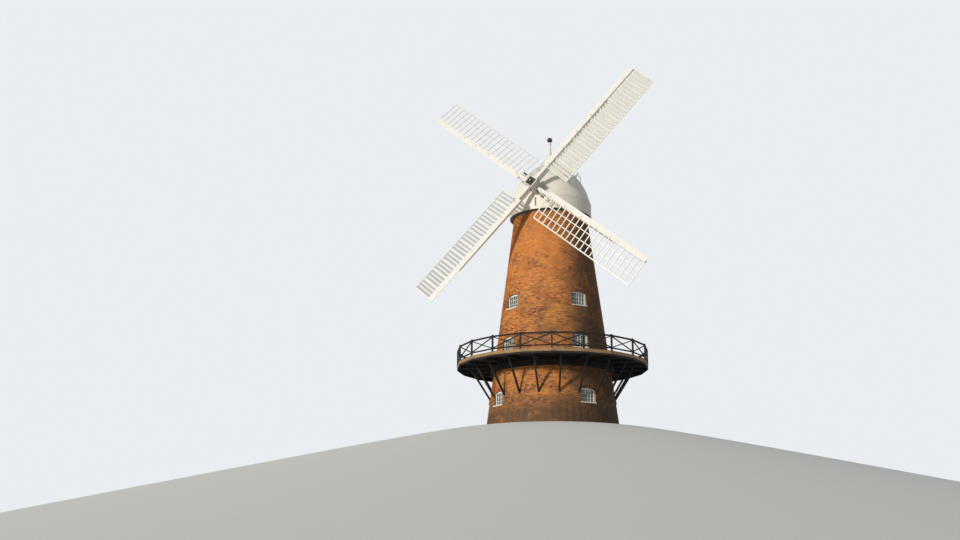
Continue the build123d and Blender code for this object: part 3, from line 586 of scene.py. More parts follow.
@dataclass(frozen=True)
class SlabFinish(Finish):
    """Flat work in courses, such as flagstones or floor boards, with dark joints."""

    stops: Stops
    joint: Colour
    length: float
    width: float

    def wire(self, wiring: Wiring) -> bpy.types.Material:
        """Rows of slabs of mixed tone over a joint colour."""
        grey = {name: (value, value, value, 1.0)
                for name, value in (("Color1", 0.1), ("Color2", 0.9), ("Mortar", 0.0))}
        rows = wiring.node("TexBrick", {
            "Vector": wiring.place, "Scale": 1.0, "Mortar Size": 0.006,
            "Brick Width": self.length, "Row Height": self.width, **grey})
        toned = wiring.ramp(rows.outputs["Color"], self.stops)
        worn = wiring.patched(toned, Patch(self.joint, 0.3, 5.0, 0.45, 0.75, 0.4))
        slabs = wiring.mix(rows.outputs["Fac"], worn, self.joint)
        return wiring.finish(slabs, (0.6, 0.9), wiring.noise(0.3, 5.0), 0.004)


EVEN_GRAIN = (1.0, 1.0, 1.0)
TARRED = {"wear_share": 0.22, "rough": (0.75, 0.95)}


class Look(Enum):
    """Named finishes of the mill."""

    BRICK = BrickFinish("brick", (
        (0.0, (0.06, 0.018, 0.008)), (0.2, (0.24, 0.060, 0.014)), (0.45, (0.52, 0.145, 0.022)),
        (0.7, (0.72, 0.225, 0.030)), (0.88, (0.84, 0.340, 0.060)), (1.0, (0.50, 0.240, 0.090))))
    MORTAR = SlabFinish("mortar", ((0.0, (0.24, 0.15, 0.09)), (1.0, (0.34, 0.22, 0.13))),
                        (0.12, 0.07, 0.045), 3.0, 2.0)
    CAP = PaintFinish("cap_white", (0.83, 0.80, 0.72), (0.46, 0.43, 0.36), 0.28)
    WINDOW = PaintFinish("window_white", (0.88, 0.87, 0.83), (0.48, 0.44, 0.37), 0.3)
    SAIL = PaintFinish("sail_white", (0.84, 0.83, 0.79), (0.52, 0.48, 0.40), 0.25)
    FAN = PaintFinish("fan_white", (0.78, 0.78, 0.75), (0.42, 0.41, 0.37), 0.3)
    DOOR = PaintFinish("door_black", (0.022, 0.026, 0.028), (0.09, 0.075, 0.06), 0.4, 0.3)
    BLACK = PaintFinish("ball_black", (0.012, 0.012, 0.013), (0.05, 0.045, 0.04), 0.3, 0.1,
                        (0.25, 0.4))
    STAGE = TimberFinish("stage_tar", (0.006, 0.005, 0.0045), (0.017, 0.013, 0.010),
                         (0.045, 0.032, 0.022), **TARRED)
    DECK = TimberFinish("deck_boards", (0.055, 0.042, 0.03), (0.13, 0.10, 0.07),
                        (0.24, 0.19, 0.13), EVEN_GRAIN, 0.5)
    # Pale golden edge boards: painted highlight of the low light catching the deck's edge.
    NOSING_HIGHLIGHT = TimberFinish("deck_edge_highlight", (0.24, 0.135, 0.055), (0.42, 0.26, 0.13),
                          (0.10, 0.055, 0.03), EVEN_GRAIN, 0.6)
    STRUT = TimberFinish("strut_tar", (0.010, 0.006, 0.004), (0.028, 0.017, 0.010),
                         (0.07, 0.04, 0.022), **TARRED)
    OAK = TimberFinish("frame_oak", (0.04, 0.03, 0.022), (0.11, 0.08, 0.055), (0.2, 0.16, 0.12))
    IRON = IronFinish("mill_iron", (0.030, 0.026, 0.024))
    PALE_IRON = IronFinish("painted_iron", (0.62, 0.60, 0.55), (0.22, 0.11, 0.06), 0.1)
    # Dark pane colour: painted shade of the room behind the windows.
    GLASS = GlassFinish("old_glass", (0.10, 0.13, 0.15), (0.30, 0.31, 0.30))
    FLAGS = SlabFinish("flagstones", ((0.0, (0.20, 0.18, 0.15)), (1.0, (0.40, 0.37, 0.32))),
                       (0.09, 0.08, 0.07), 0.9, 0.6)
    PLANKS = SlabFinish("floor_planks", ((0.0, (0.16, 0.10, 0.055)), (1.0, (0.34, 0.23, 0.14))),
                        (0.05, 0.03, 0.02), 3.6, 0.2)


NODE_LOOKS = {
    Look.MORTAR: ("_wall_", "string_course"), Look.WINDOW: ("_window_frames",),
    Look.GLASS: ("_window_glass",), Look.DOOR: ("_door",), Look.FLAGS: ("ground_floor",),
    Look.PLANKS: ("stage_floor", "second_floor"),
    Look.OAK: ("curb", "cap_ring", "sheers", "weather_beam", "tail_bearing"),
    Look.STAGE: ("stage_deck", "stage_fascia", "stage_joists", "rail"),
    Look.STRUT: ("stage_struts",), Look.CAP: ("cap_", "petticoat", "finial_pole"),
    Look.BLACK: ("finial_ball",), Look.FAN: ("tail_beam", "fan_"),
    Look.PALE_IRON: ("windshaft",), Look.SAIL: ("stock", "sail_"),
}


def dress_nodes() -> None:
    """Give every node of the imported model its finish, by the first name part that fits."""
    for name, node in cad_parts.items():
        look = next(look for look, parts in NODE_LOOKS.items()
                    if any(part in name for part in parts))
        node.data.materials.clear()
        node.data.materials.append(look.value.material())
    LOG.info("finishes set on %d nodes", len(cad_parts))


# Tower


@dataclass(frozen=True)
class Opening:
    """A window or door in the tower wall, with its arch and the ring of bricks over it."""

    azimuth: float
    sill: float
    height: float = 0.98
    width: float = 1.15
    rise: float = 0.11
    ring: float = 0.225

    @property
    def spring(self) -> float:
        """Height where the arch springs."""
        return self.sill + self.height - self.rise

    @property
    def arch_radius(self) -> float:
        """Radius of the arch, from its half width and rise."""
        half = self.width / 2
        return (half * half + self.rise * self.rise) / (2 * self.rise)

    @property
    def arch_centre(self) -> float:
        """Height of the arch's centre."""
        return self.spring + self.rise - self.arch_radius

    def half_width(self, heights: Array) -> Array:
        """Half the width kept clear of coursed brick at each height, zero past the opening.

        Below the springing it is half the opening. Above, it is the smaller of the line of the
        arch's skewback and the circle round the outside of the arch ring.
        """
        outer = self.arch_radius + self.ring
        above = heights - self.arch_centre
        circle = np.sqrt(np.maximum(outer * outer - above * above, 0.0))
        skew = self.width / 2 * above / (self.spring - self.arch_centre)
        arched = np.where(heights > self.spring, np.minimum(circle, skew), self.width / 2)
        return np.where((heights > self.sill) & (above < outer), arched, 0.0)


@dataclass(frozen=True)
class Storey:
    """A height of the wall and the openings in it."""

    name: str
    low: float
    high: float
    openings: tuple[Opening, ...]


DOOR_SIZE = (2.05, 1.10)
STOREYS = (
    Storey("ground", 0.0, 4.35, (Opening(33.0, 1.45), Opening(123.0, 0.15, *DOOR_SIZE),
                                 Opening(213.0, 1.45), Opening(303.0, 1.45))),
    Storey("stage", 4.35, 7.30, (Opening(30.0, 5.09), Opening(123.0, 5.09),
                                 Opening(213.0, 4.50, *DOOR_SIZE), Opening(309.0, 5.09))),
    Storey("second", 7.30, 10.60, (Opening(33.0, 8.02), Opening(123.0, 8.02),
                                   Opening(213.0, 8.02), Opening(309.0, 8.02))),
    Storey("top", 10.60, 14.79, ()),
)


@dataclass(frozen=True)
class Tower:
    """Brick tower: coursed bricks, arches, band, window bars and boarded doors."""

    base_radius: float = 4.48
    top_radius: float = 2.575
    wall_top: float = 14.7
    flat_half: float = math.radians(3.0)
    brick_pitch: float = 0.225
    course_height: float = 0.075
    shortest_brick: float = 0.045
    joint: float = 0.010
    bevel: float = 0.006
    sunk: float = 0.012
    proud: float = 0.003
    uneven: float = 0.004
    brick_tone: float = 0.52
    brick_spread: float = 0.24
    first_seed: int = 3
    band_seed: int = 43
    arch_proud: float = 0.009
    arch_tone: float = 0.42
    arch_spread: float = 0.18
    band: tuple[float, float] = (1.86, 2.06)
    band_out: float = 0.045
    frame_size: float = 0.07
    frame_setback: float = 0.11
    glazing: Size = (0.026, 0.04, 0.006)
    glazing_back: float = 0.028
    leaf_gap: float = 0.004
    leaf_proud: float = 0.015
    strap: Size = (0.055, 0.012, 0.003)
    strap_length: float = 0.72
    strap_inset: float = 0.30
    handle: Size = (0.012, 0.012, 0.003)
    handle_radius: float = 0.055
    handle_inset: float = 0.12
    handle_height: float = 0.95

    def radius(self, heights: Array | float) -> Array | float:
        """Radius of the wall's flats at heights: it falls evenly from foot to head."""
        return self.base_radius + (self.top_radius - self.base_radius) * heights / self.wall_top

    def on_wall(self, azimuth: Array, heights: Array, out: Array | float) -> Array:
        """Points a distance out from the wall's corners."""
        radius = self.radius(heights) / math.cos(self.flat_half) + out
        return round_the_axis(azimuth, radius, heights)

    def coursed(self, shell: Shell, low: float, high: float, openings: tuple[Opening, ...],
                seed: int, out: float = 0.0) -> None:
        """Lay bricks in courses round the tower, broken at the openings.

        The band holds a whole number of courses, and each course as many bricks as fit its
        circumference; every other course is set on by half a brick. Bricks that cross an opening
        are cut to its edge, and those inside it are left out.

        Args:
            shell: where the bricks go.
            low: foot of the band of courses.
            high: head of the band of courses.
            openings: openings in it.
            seed: seed of the bricks' tones.
            out: distance that the courses stand out.
        """
        random = np.random.default_rng(seed)
        count = round((high - low) / self.course_height)
        height = (high - low) / count
        foot = low + np.arange(count) * height
        middle = foot + height / 2
        number = np.round(FULL_TURN * self.radius(middle) / self.brick_pitch).astype(int)
        row = np.repeat(np.arange(count), number)
        brick = np.arange(len(row)) - np.repeat(np.cumsum(number) - number, number)
        step = FULL_TURN / number[row]
        start = (brick + 0.5 * (row % 2)) * step
        end = start + step
        radius = self.radius(middle)[row]
        for opening in openings:
            edge = np.arcsin(np.clip(opening.half_width(middle)[row] / radius, 0.0, 1.0))
            offset = (start - math.radians(opening.azimuth) + math.pi) % FULL_TURN - math.pi
            reach = offset + end - start
            inside = (edge > 0) & (offset > -edge) & (offset < edge)
            crossing = (edge > 0) & (offset <= -edge) & (reach > -edge)
            start = np.where(inside, start - offset + edge, start)
            end = np.where(crossing, end - reach - edge, end)
        kept = end - start > self.shortest_brick / radius
        start, end, row, radius = (values[kept] for values in (start, end, row, radius))
        gap, bevel = self.joint / 2 / radius, self.bevel / radius
        bed, top = foot[row] + self.joint / 2, foot[row] + height - self.joint / 2
        proud = out + self.proud + self.uneven * random.random(len(row))
        base = self.on_wall(around(start + gap, end - gap), along(bed, top), out - self.sunk)
        face = self.on_wall(around(start + gap + bevel, end - gap - bevel),
                            along(bed + self.bevel, top - self.bevel), proud[:, None])
        patch = 0.12 * np.sin(3.0 * start + 1.7 * foot[row] + seed)
        patch += 0.1 * np.sin(1.3 * foot[row] - 5.0 * start)
        tones = self.brick_tone + patch + self.brick_spread * random.standard_normal(len(row))
        shell.blocks(base, face, np.clip(tones, 0.0, 1.0))

    def arch(self, shell: Shell, opening: Opening, seed: int) -> None:
        """Lay the ring of bricks on edge over an opening, with tones from a seed.

        Each voussoir is the patch between two angles and two radii of the arch's circle, laid
        on the wall with its sideways distance turned into an azimuth.
        """
        random = np.random.default_rng(seed)
        radius = opening.arch_radius
        reach = math.asin(opening.width / 2 / radius)
        number = round(2 * reach * radius / self.course_height)
        edges = np.linspace(-reach, reach, number + 1)

        def layer(inset: float, out: float) -> Array:
            """Corners of the bricks, drawn in by an inset, at a distance out of the wall."""
            narrower = self.joint / 2 / radius + inset / 2
            angle = around(edges[:-1] + narrower, edges[1:] - narrower)
            near, far = radius + 0.004 + inset, radius + opening.ring - 0.006 - inset
            distance = np.array([near, near, far, far])
            heights = opening.arch_centre + distance * np.cos(angle)
            sideways = np.arcsin(distance * np.sin(angle) / self.radius(heights))
            return self.on_wall(math.radians(opening.azimuth) + sideways, heights, out)

        tones = self.arch_tone + self.arch_spread * random.standard_normal(number)
        shell.blocks(layer(0.0, -self.sunk), layer(self.bevel, self.arch_proud),
                     np.clip(tones, 0.0, 1.0))

    def frame_face(self, opening: Opening) -> float:
        """Distance of a frame's face from the axis."""
        return self.radius(opening.sill + opening.height) - self.frame_setback

    def glazing_bars(self, shell: Shell, opening: Opening) -> None:
        """Lay white bars over a pane: four uprights and two cross bars."""
        away = self.glazing_back - self.frame_face(opening)
        half = opening.width / 2 - self.frame_size
        low, high = opening.sill + self.frame_size, opening.spring
        uprights, levels = np.linspace(-half, half, 6)[1:-1], np.linspace(low, high, 4)[1:-1]
        place = turn(2, opening.azimuth)
        shell.bars(self.glazing, joined(uprights, away, low), joined(uprights, away, high), FRONT,
                   place)
        shell.bars(self.glazing, joined(-half, away, levels), joined(half, away, levels), FRONT,
                   place)

    def door_boards(self, boards: Shell, iron: Shell, opening: Opening) -> None:
        """Board a door and hang it on strap hinges, with studs and a ring handle."""
        place = turn(2, opening.azimuth)
        face = self.frame_face(opening) - self.leaf_proud
        half = opening.width / 2 - self.frame_size - self.leaf_gap
        low, high = opening.sill + 3 * self.leaf_gap, opening.spring - self.leaf_gap
        edges = np.linspace(-half, half, 7)

        def layer(inset: float, out: float) -> Array:
            """Corners of the boards, drawn in by an inset, at a distance out of the door."""
            level = np.array([low + inset, low + inset, high - inset, high - inset])
            corners = joined(around(edges[:-1] + inset, edges[1:] - inset), -face - out, level)
            return moved(corners, place)

        boards.blocks(layer(0.003, 0.0), layer(0.008, 0.011), np.linspace(0.1, 0.9, 6))
        levels = np.array([low + self.strap_inset, high - self.strap_inset])
        iron.bars(self.strap, joined(0.01 - half, -face - 0.016, levels),
                  (self.strap_length, 0.0, 0.0), FRONT, place)
        studs = joined(np.linspace(0.08 - half, 0.68 - half, 5), -face - 0.022, levels[:, None])
        iron.fit(BOLT, studs.reshape(-1, 3), FRONT, place)
        angle = np.linspace(0.0, FULL_TURN, 16, endpoint=False)
        ring = joined(half - self.handle_inset + self.handle_radius * np.cos(angle), -face - 0.028,
                      low + self.handle_height + self.handle_radius * np.sin(angle))
        iron.bars(self.handle, ring, np.roll(ring, -1, axis=0), FRONT, place)

    def build(self) -> None:
        """Make the tower's pieces storey by storey."""
        bars, boards, iron = Shell(), Shell(), Shell()
        for seed, storey in enumerate(STOREYS, start=self.first_seed):
            bricks = Shell()
            self.coursed(bricks, storey.low, storey.high, storey.openings, seed)
            if storey.name == "ground":
                self.coursed(bricks, *self.band, storey.openings, self.band_seed, self.band_out)
            for index, opening in enumerate(storey.openings):
                self.arch(bricks, opening, 100 * seed + index)
                if opening.height == DOOR_SIZE[0]:
                    self.door_boards(boards, iron, opening)
                else:
                    self.glazing_bars(bars, opening)
            bricks.piece(f"bricks_{storey.name}", Look.BRICK, "tower", "brickwork")
        bars.piece("glazing_bars", Look.WINDOW, "tower", "window_paint")
        boards.piece("door_boards", Look.DOOR, "tower", "door_paint")
        iron.piece("door_irons", Look.IRON, "tower", "cast_iron")


# Stage


@dataclass(frozen=True)
class Stage:
    """Timber stage: boards on top and below, an edge coloured pale as painted highlight, ledger,
    rail capping, caps and bolts.
    """

    sides: int = 20
    first_post: float = 36.0
    deck_top: float = 4.5
    deck_board: float = 0.05
    inside: float = 3.925
    rim_inside: float = 6.3303
    rim_outside: float = 6.3903
    joist_foot: float = 4.25
    rail_top: float = 5.53
    board_width: float = 0.15
    strut_foot: Size = (0.0, -4.367, 2.371)
    strut_head: Size = (0.0, -5.348, 3.930)
    strut_half: float = 0.055
    nosing_top: Size = (0.15, 0.032, 0.006)
    nosing_edge: Size = (0.022, 0.180, 0.006)
    ledger_upper: Size = (0.14, 0.196, 0.01)
    ledger_lower: Size = (0.11, 0.196, 0.01)
    nogging: Size = (0.09, 0.18, 0.01)
    nogging_half: float = 0.56
    rail_cap: Size = (0.085, 0.026, 0.009)
    strut_swing: float = -3.0
    seeds: tuple[int, int] = (11, 12)

    @property
    def half(self) -> float:
        """Half a side's length for each metre of its distance from the axis."""
        return math.tan(math.pi / self.sides)

    def turns(self, share: float) -> Array:
        """Turn to a share of the way from each post to the next, from the front."""
        step = 360.0 / self.sides
        return np.array([turn(2, self.first_post + step * (index + share))
                         for index in range(self.sides)])

    def beams(self, shell: Shell, size: Size, reach: float, away: float, level: float,
              tone: float = 0.5, swing: float = 0.0) -> None:
        """Lay one level timber a side.

        Args:
            shell: where the timbers go.
            size: width, depth and chamfer of the section.
            reach: half the timber's length.
            away: distance of its middle from the axis.
            level: height of its middle.
            tone: its tone.
            swing: turn past the middle of the side, in degrees.
        """
        shell.bars(size, [(-reach, -away, level)], [(reach, -away, level)], UP,
                   self.turns(0.5) @ turn(2, swing), tone)

    def deck_boards(self, shell: Shell, level: float, lift: float) -> None:
        """Lay boards across each side of the deck, parallel to its rim.

        A board between two distances from the axis is as long at each edge as the side is there.

        Args:
            shell: where the boards go.
            level: height of the boards' backs.
            lift: height of their faces over the backs, negative under the deck.
        """
        number = round((self.rim_inside - self.inside) / self.board_width)
        edges = np.linspace(self.inside, self.rim_inside, number + 1)

        def layer(inset: float, height: float) -> Array:
            """Corners of the boards, drawn in by an inset, at a height."""
            near, far = edges[:-1] + inset, edges[1:] - inset
            across = np.stack([-far, far, near, -near], axis=1) * self.half
            across -= np.sign(across) * (inset + 0.004)
            return joined(across, -along(far, near), height)

        order = 1 if lift > 0 else -1
        layers = layer(0.004, level)[:, ::order], layer(0.009, level + lift)[:, ::order]
        random = np.random.default_rng(self.seeds[lift < 0])
        for place in self.turns(0.5):
            shell.blocks(*(moved(points, place) for points in layers), random.random(number))

    def nosing(self, shell: Shell) -> None:
        """Lay the boards that cover the rim's top and its upper edge, one of each a side, in a pale
        golden colour that is painted highlight.
        """
        for out, rise, size in ((-0.062, 0.008, self.nosing_top),
                                (0.003, -0.095, self.nosing_edge)):
            away = self.rim_outside + out
            self.beams(shell, size, away * self.half - 0.006, away, self.deck_top + rise)

    def ledger(self, shell: Shell) -> None:
        """Run dark timbers round the wall: two a side under the joists, one between each pair."""
        for away, rise, size, tone in ((4.06, -0.103, self.ledger_upper, 0.2),
                                       (4.05, -0.305, self.ledger_lower, 0.5)):
            self.beams(shell, size, (away - size[0] / 2) * self.half - 0.004, away,
                       self.joist_foot + rise, tone)
        self.beams(shell, self.nogging, self.nogging_half, 4.03, self.joist_foot + 0.095, 0.4, 6.0)

    def railing(self, caps: Shell, iron: Shell) -> None:
        """Cap the handrail and the posts, and bolt the rails and the crossed braces."""
        away = (self.rim_inside + self.rim_outside) / 2
        reach = away * self.half - 0.045
        self.beams(caps, self.rail_cap, reach, away, self.rail_top + 0.008)
        corner = away / math.cos(math.pi / self.sides)
        on_post = shift(0.0, -corner, self.rail_top + 0.029) @ turn(2, 45.0)
        caps.repeat(POST_CAP, self.turns(0.0) @ on_post)
        spots = [(0.0, -away - 0.031, self.rail_top - 0.435)]
        spots += [(x, -away - 0.032, self.rail_top - 0.042) for x in (0.06 - reach, reach - 0.06)]
        iron.fit(BOLT, spots, FRONT, self.turns(0.5)[:, None])

    def strut_bolts(self, iron: Shell) -> None:
        """Bolt each strut at its foot and at its head, on both cheeks."""
        struts = self.turns(0.5) @ turn(2, self.strut_swing)
        for cheek in (-RIGHT, RIGHT):
            spots = np.array([self.strut_foot, self.strut_head]) + cheek * self.strut_half
            iron.fit(WASHER_BOLT, spots, cheek, struts[:, None])

    def build(self) -> None:
        """Make the stage's pieces."""
        upper, lower, edge, ledger, caps, iron = (Shell() for _ in range(6))
        self.deck_boards(upper, self.deck_top - 0.002, 0.010)
        self.deck_boards(lower, self.deck_top - self.deck_board + 0.002, -0.010)
        self.nosing(edge)
        self.ledger(ledger)
        self.railing(caps, iron)
        self.strut_bolts(iron)
        for shell, name, look in (
                (upper, "deck_boards_top", Look.DECK), (lower, "deck_boards_under", Look.STAGE),
                (edge, "deck_nosing", Look.NOSING_HIGHLIGHT), (ledger, "stage_ledger", Look.STAGE),
                (caps, "rail_caps", Look.STAGE)):
            shell.piece(name, look, "tower", "stage_timber")
        iron.piece("stage_bolts", Look.IRON, "tower", "cast_iron")


# Cap


@dataclass(frozen=True)
class Cap:
    """White cap: boarded ogee dome, petticoat, beads, a slot drawn in painted shade, hood, pole and
    ball.
    """

    petticoat_radius: float = 2.83
    petticoat_foot: float = 14.88
    eaves: float = 15.83
    eaves_radius: float = 2.80
    bulge: tuple[float, float] = (2.33, 1.35)
    turning: tuple[float, float] = (1.08, 2.75)
    tip: tuple[float, float] = (0.14, 3.95)
    flat_half: float = math.radians(4.5)
    boards: int = 120
    board_edges: Size = (0.0, 0.035, 0.965)
    groove: float = 0.006
    # Black bar of painted shade in the slot: width, depth and chamfer.
    slot: Size = (0.10, 0.016, 0.004)
    slot_foot: float = 15.10
    slot_height: float = 0.59
    frame_board: Size = (0.05, 0.03, 0.006)
    hood_half: float = 0.64
    hood_spring: float = 16.4205
    hood_front: float = 2.582
    hood_back: float = 1.30
    hood_foot: float = 16.36
    shaft_hole: float = 0.31
    trim_board: Size = (0.07, 0.03, 0.006)
    ball_height: float = 20.855
    ball_radius: float = 0.19

    def outline(self) -> Array:
        """Radius and height up the ogee: an arc through the bulge, then one tangent to it."""
        profile = np.array([(self.eaves_radius, 0.0), self.bulge, self.turning, self.tip])
        foot, bulge, turning, tip = profile + (0.0, self.eaves)
        system = 2 * np.array([bulge - foot, turning - foot])
        squares = [bulge @ bulge - foot @ foot, turning @ turning - foot @ foot]
        swell = arc(np.linalg.solve(system, squares), foot, turning, 22)
        run = unit(swell[-1] - swell[-2])
        chord, square = tip - turning, np.array([-run[1], run[0]])
        centre = turning + square * (chord @ chord / (2 * (chord @ square)))
        return np.concatenate([swell, arc(centre, turning, tip, 14)[1:]])

    def boarded(self, rows: Array, grooves: Array) -> Shape:
        """Skin of upright boards round the cap, with a groove at each joint.

        The point at row i and board j is (r sin a, -r cos a, z), where the radius is the row's
        less its groove's depth on the joint, and the angle steps round joint, edge and edge.

        Args:
            rows: radius and height of each row, upwards.
            grooves: depth of the groove in each row.

        Returns:
            The points, and the faces of a tube.
        """
        steps = (np.arange(self.boards)[:, None] + np.array(self.board_edges)).ravel()
        azimuth = steps * (FULL_TURN / self.boards)
        joint = np.tile([1.0, 0.0, 0.0], self.boards)
        points = round_the_axis(azimuth, rows[:, :1] - grooves[:, None] * joint, rows[:, 1:])
        return points.reshape(-1, 3), tube_faces(len(rows), len(azimuth))

    def dome(self) -> None:
        """Board the dome, leaving the boards out inside the hood."""
        outline = self.outline()
        widths, levels = outline.T
        skin = joined(widths / math.cos(self.flat_half) + 0.012, levels)
        lip = (self.eaves_radius - 0.02, self.eaves + 0.001)
        rows = np.concatenate([[lip], skin, [(0.085, levels[-1] + 0.004)]])
        grooves = np.concatenate([[0.0], 0.005 * np.clip(widths, 0.05, 1.0), [0.0]])
        points, faces = self.boarded(rows, grooves)
        sideways, away, level = np.abs(points[:, 0]), -points[:, 1], points[:, 2]
        inner = self.hood_half - 0.02
        arch = self.hood_spring + np.sqrt(np.maximum(inner ** 2 - sideways ** 2, 0.0))
        hidden = (sideways < inner) & (level < arch) & (level > self.hood_foot + 0.06) & (away > 0)
        side = faces[0][~hidden[faces[0]].all(axis=1)]
        shell = Shell()
        shell.add(moved(points, CAP_PLACE), [side, faces[2]], 0.3)
        shell.piece("dome_boards", Look.CAP, "cap", "cap_paint", smooth=True)

    def skirt(self) -> None:
        """Board the petticoat, run a bead round the eaves and the foot, and frame the slot, whose
        dark gap is painted shade.
        """
        out = self.petticoat_radius / math.cos(self.flat_half) + 0.005
        foot = self.petticoat_foot
        rows = np.array([(out - 0.05, foot), (out, foot), (out, foot + 0.32), (out, foot + 0.64),
                         (out, self.eaves), (out - 0.05, self.eaves + 0.004)])
        points, faces = self.boarded(rows, self.groove * np.array([0, 1, 1, 1, 1, 0]))
        shell = Shell()
        shell.add(points, [faces[0]], 0.4)
        shell.carry(CAP_PLACE).piece("petticoat_boards", Look.CAP, "cap", "cap_paint")
        trims = Shell()
        angle = np.linspace(0.0, FULL_TURN, 12, endpoint=False)[:, None]
        azimuth = np.linspace(0.0, FULL_TURN, 160, endpoint=False)
        for level, size in ((self.eaves, 0.017), (foot + 0.03, 0.014)):
            ring = round_the_axis(azimuth, out + size * np.cos(angle), level + size * np.sin(angle))
            trims.add(ring.reshape(-1, 3), ring_faces(12, 160))
        low, run = self.slot_foot, (0.0, 0.0, self.slot_height)
        uprights = [(x, -out - 0.004, low) for x in (-0.075, 0.075)]
        rails = [(-0.11, -out - 0.004, z) for z in (low - 0.03, low + self.slot_height + 0.03)]
        trims.bars(self.frame_board, uprights, run, FRONT)
        trims.bars(self.frame_board, rails, (0.22, 0.0, 0.0), FRONT)
        trims.carry(CAP_PLACE).piece("cap_beads", Look.CAP, "cap", "cap_paint", smooth=True)
        # Painted shade: a black bar in door paint stands for the dark gap of the slot.
        slot = Shell()
        slot.bars(self.slot, [(0.0, -out, low)], run, FRONT)
        slot.carry(CAP_PLACE).piece("cap_slot_painted_shade", Look.DOOR, "cap", "cap_paint")

    def hood(self) -> None:
        """Board the hood's round roof and its front, and trim the front's edge.

        The roof is the strip between two distances from the axis over the arch's points, the
        front is upright boards cut to the arch above and to the shaft's hole below.
        """
        turns = np.linspace(0.0, math.pi, 19)
        edges = np.linspace(0.01 - self.hood_half, self.hood_half - 0.01, 10)
        shaft = SHAFT_HEIGHT + self.hood_front * math.tan(math.radians(SHAFT_TILT))

        def roof(inset: float, lift: float) -> Array:
            """Corners of the roof's boards, drawn in by an inset, at a lift over the arch."""
            size, slack = self.hood_half + 0.004 + lift, inset / (self.hood_half + 0.004)
            angle = along(turns[:-1] + slack, turns[1:] - slack)
            front = -self.hood_front - 0.012 + inset
            away = np.array([-self.hood_back, front, front, -self.hood_back])
            return joined(size * np.cos(angle), away, self.hood_spring + size * np.sin(angle))

        def front(inset: float, out: float) -> Array:
            """Corners of the front's boards, drawn in by an inset, at a distance out."""
            across = around(edges[:-1] + inset, edges[1:] - inset)
            rise, hole = (np.sqrt(np.maximum(size ** 2 - across ** 2, 0.0))
                          for size in (self.hood_half, self.shaft_hole))
            level = np.where([True, True, False, False], np.maximum(self.hood_foot, shaft + hole),
                             self.hood_spring + rise - inset)
            return joined(across, -self.hood_front - out, level)

        boards = Shell()
        boards.blocks(roof(0.003, 0.0)[:, ::-1], roof(0.010, 0.012)[:, ::-1],
                      np.tile([0.2, 0.6, 0.4], 6))
        boards.blocks(front(0.003, 0.0), front(0.009, 0.014), np.tile([0.3, 0.7, 0.5], 3))
        boards.carry(CAP_PLACE).piece("hood_boards", Look.CAP, "cap", "cap_paint")
        angle = np.concatenate([[0.0], np.linspace(0.0, math.pi, 25), [math.pi]])
        outward = joined(np.cos(angle), 0.0, np.sin(angle))
        centre = np.array([0.0, -self.hood_front - 0.022, self.hood_spring])
        path = centre + outward * (self.hood_half - 0.015)
        path[[0, -1], 2] = self.hood_foot
        section = chamfered(*self.trim_board)[None]
        points = path[:, None] + section[..., :1] * outward[:, None] + section[..., 1:] * BACK
        trim = Shell()
        trim.add(points.reshape(-1, 3), [group[:, ::-1] for group in tube_faces(27, 8)], 0.4)
        trim.carry(CAP_PLACE).piece("hood_trim", Look.CAP, "cap", "cap_paint")

    def finial(self) -> None:
        """Turn the pole with its collars, and the round ball, in place of the plain ones."""
        foot, top = self.eaves + self.tip[1], self.ball_height - self.ball_radius
        turned = ((0.060, foot - 0.30), (0.170, foot - 0.14), (0.165, foot - 0.02),
                  (0.120, foot + 0.08), (0.100, foot + 0.16), (0.086, foot + 0.20),
                  (0.080, foot + 0.50), (0.078, top - 0.13), (0.098, top - 0.11),
                  (0.106, top - 0.085), (0.098, top - 0.06), (0.078, top - 0.045),
                  (0.078, top + 0.02))
        shell = Shell()
        shell.add(*lathe(*zip(*turned), 24), 0.2)
        pole = shell.piece("turned_pole", Look.CAP, "cap", "cap_paint", smooth=True)
        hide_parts("finial_pole")
        angle = np.linspace(0.02 - math.pi / 2, math.pi / 2 - 0.02, 25)
        shell = Shell()
        shell.add(*lathe(self.ball_radius * np.cos(angle),
                         self.ball_height + self.ball_radius * np.sin(angle), 40))
        ball = shell.piece("round_ball", Look.BLACK, "cap", "black_paint", smooth=True)
        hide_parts("finial_ball")

    def build(self) -> None:
        """Make the cap's pieces."""
        self.dome()
        self.skirt()
        self.hood()
        self.finial()


# Sails


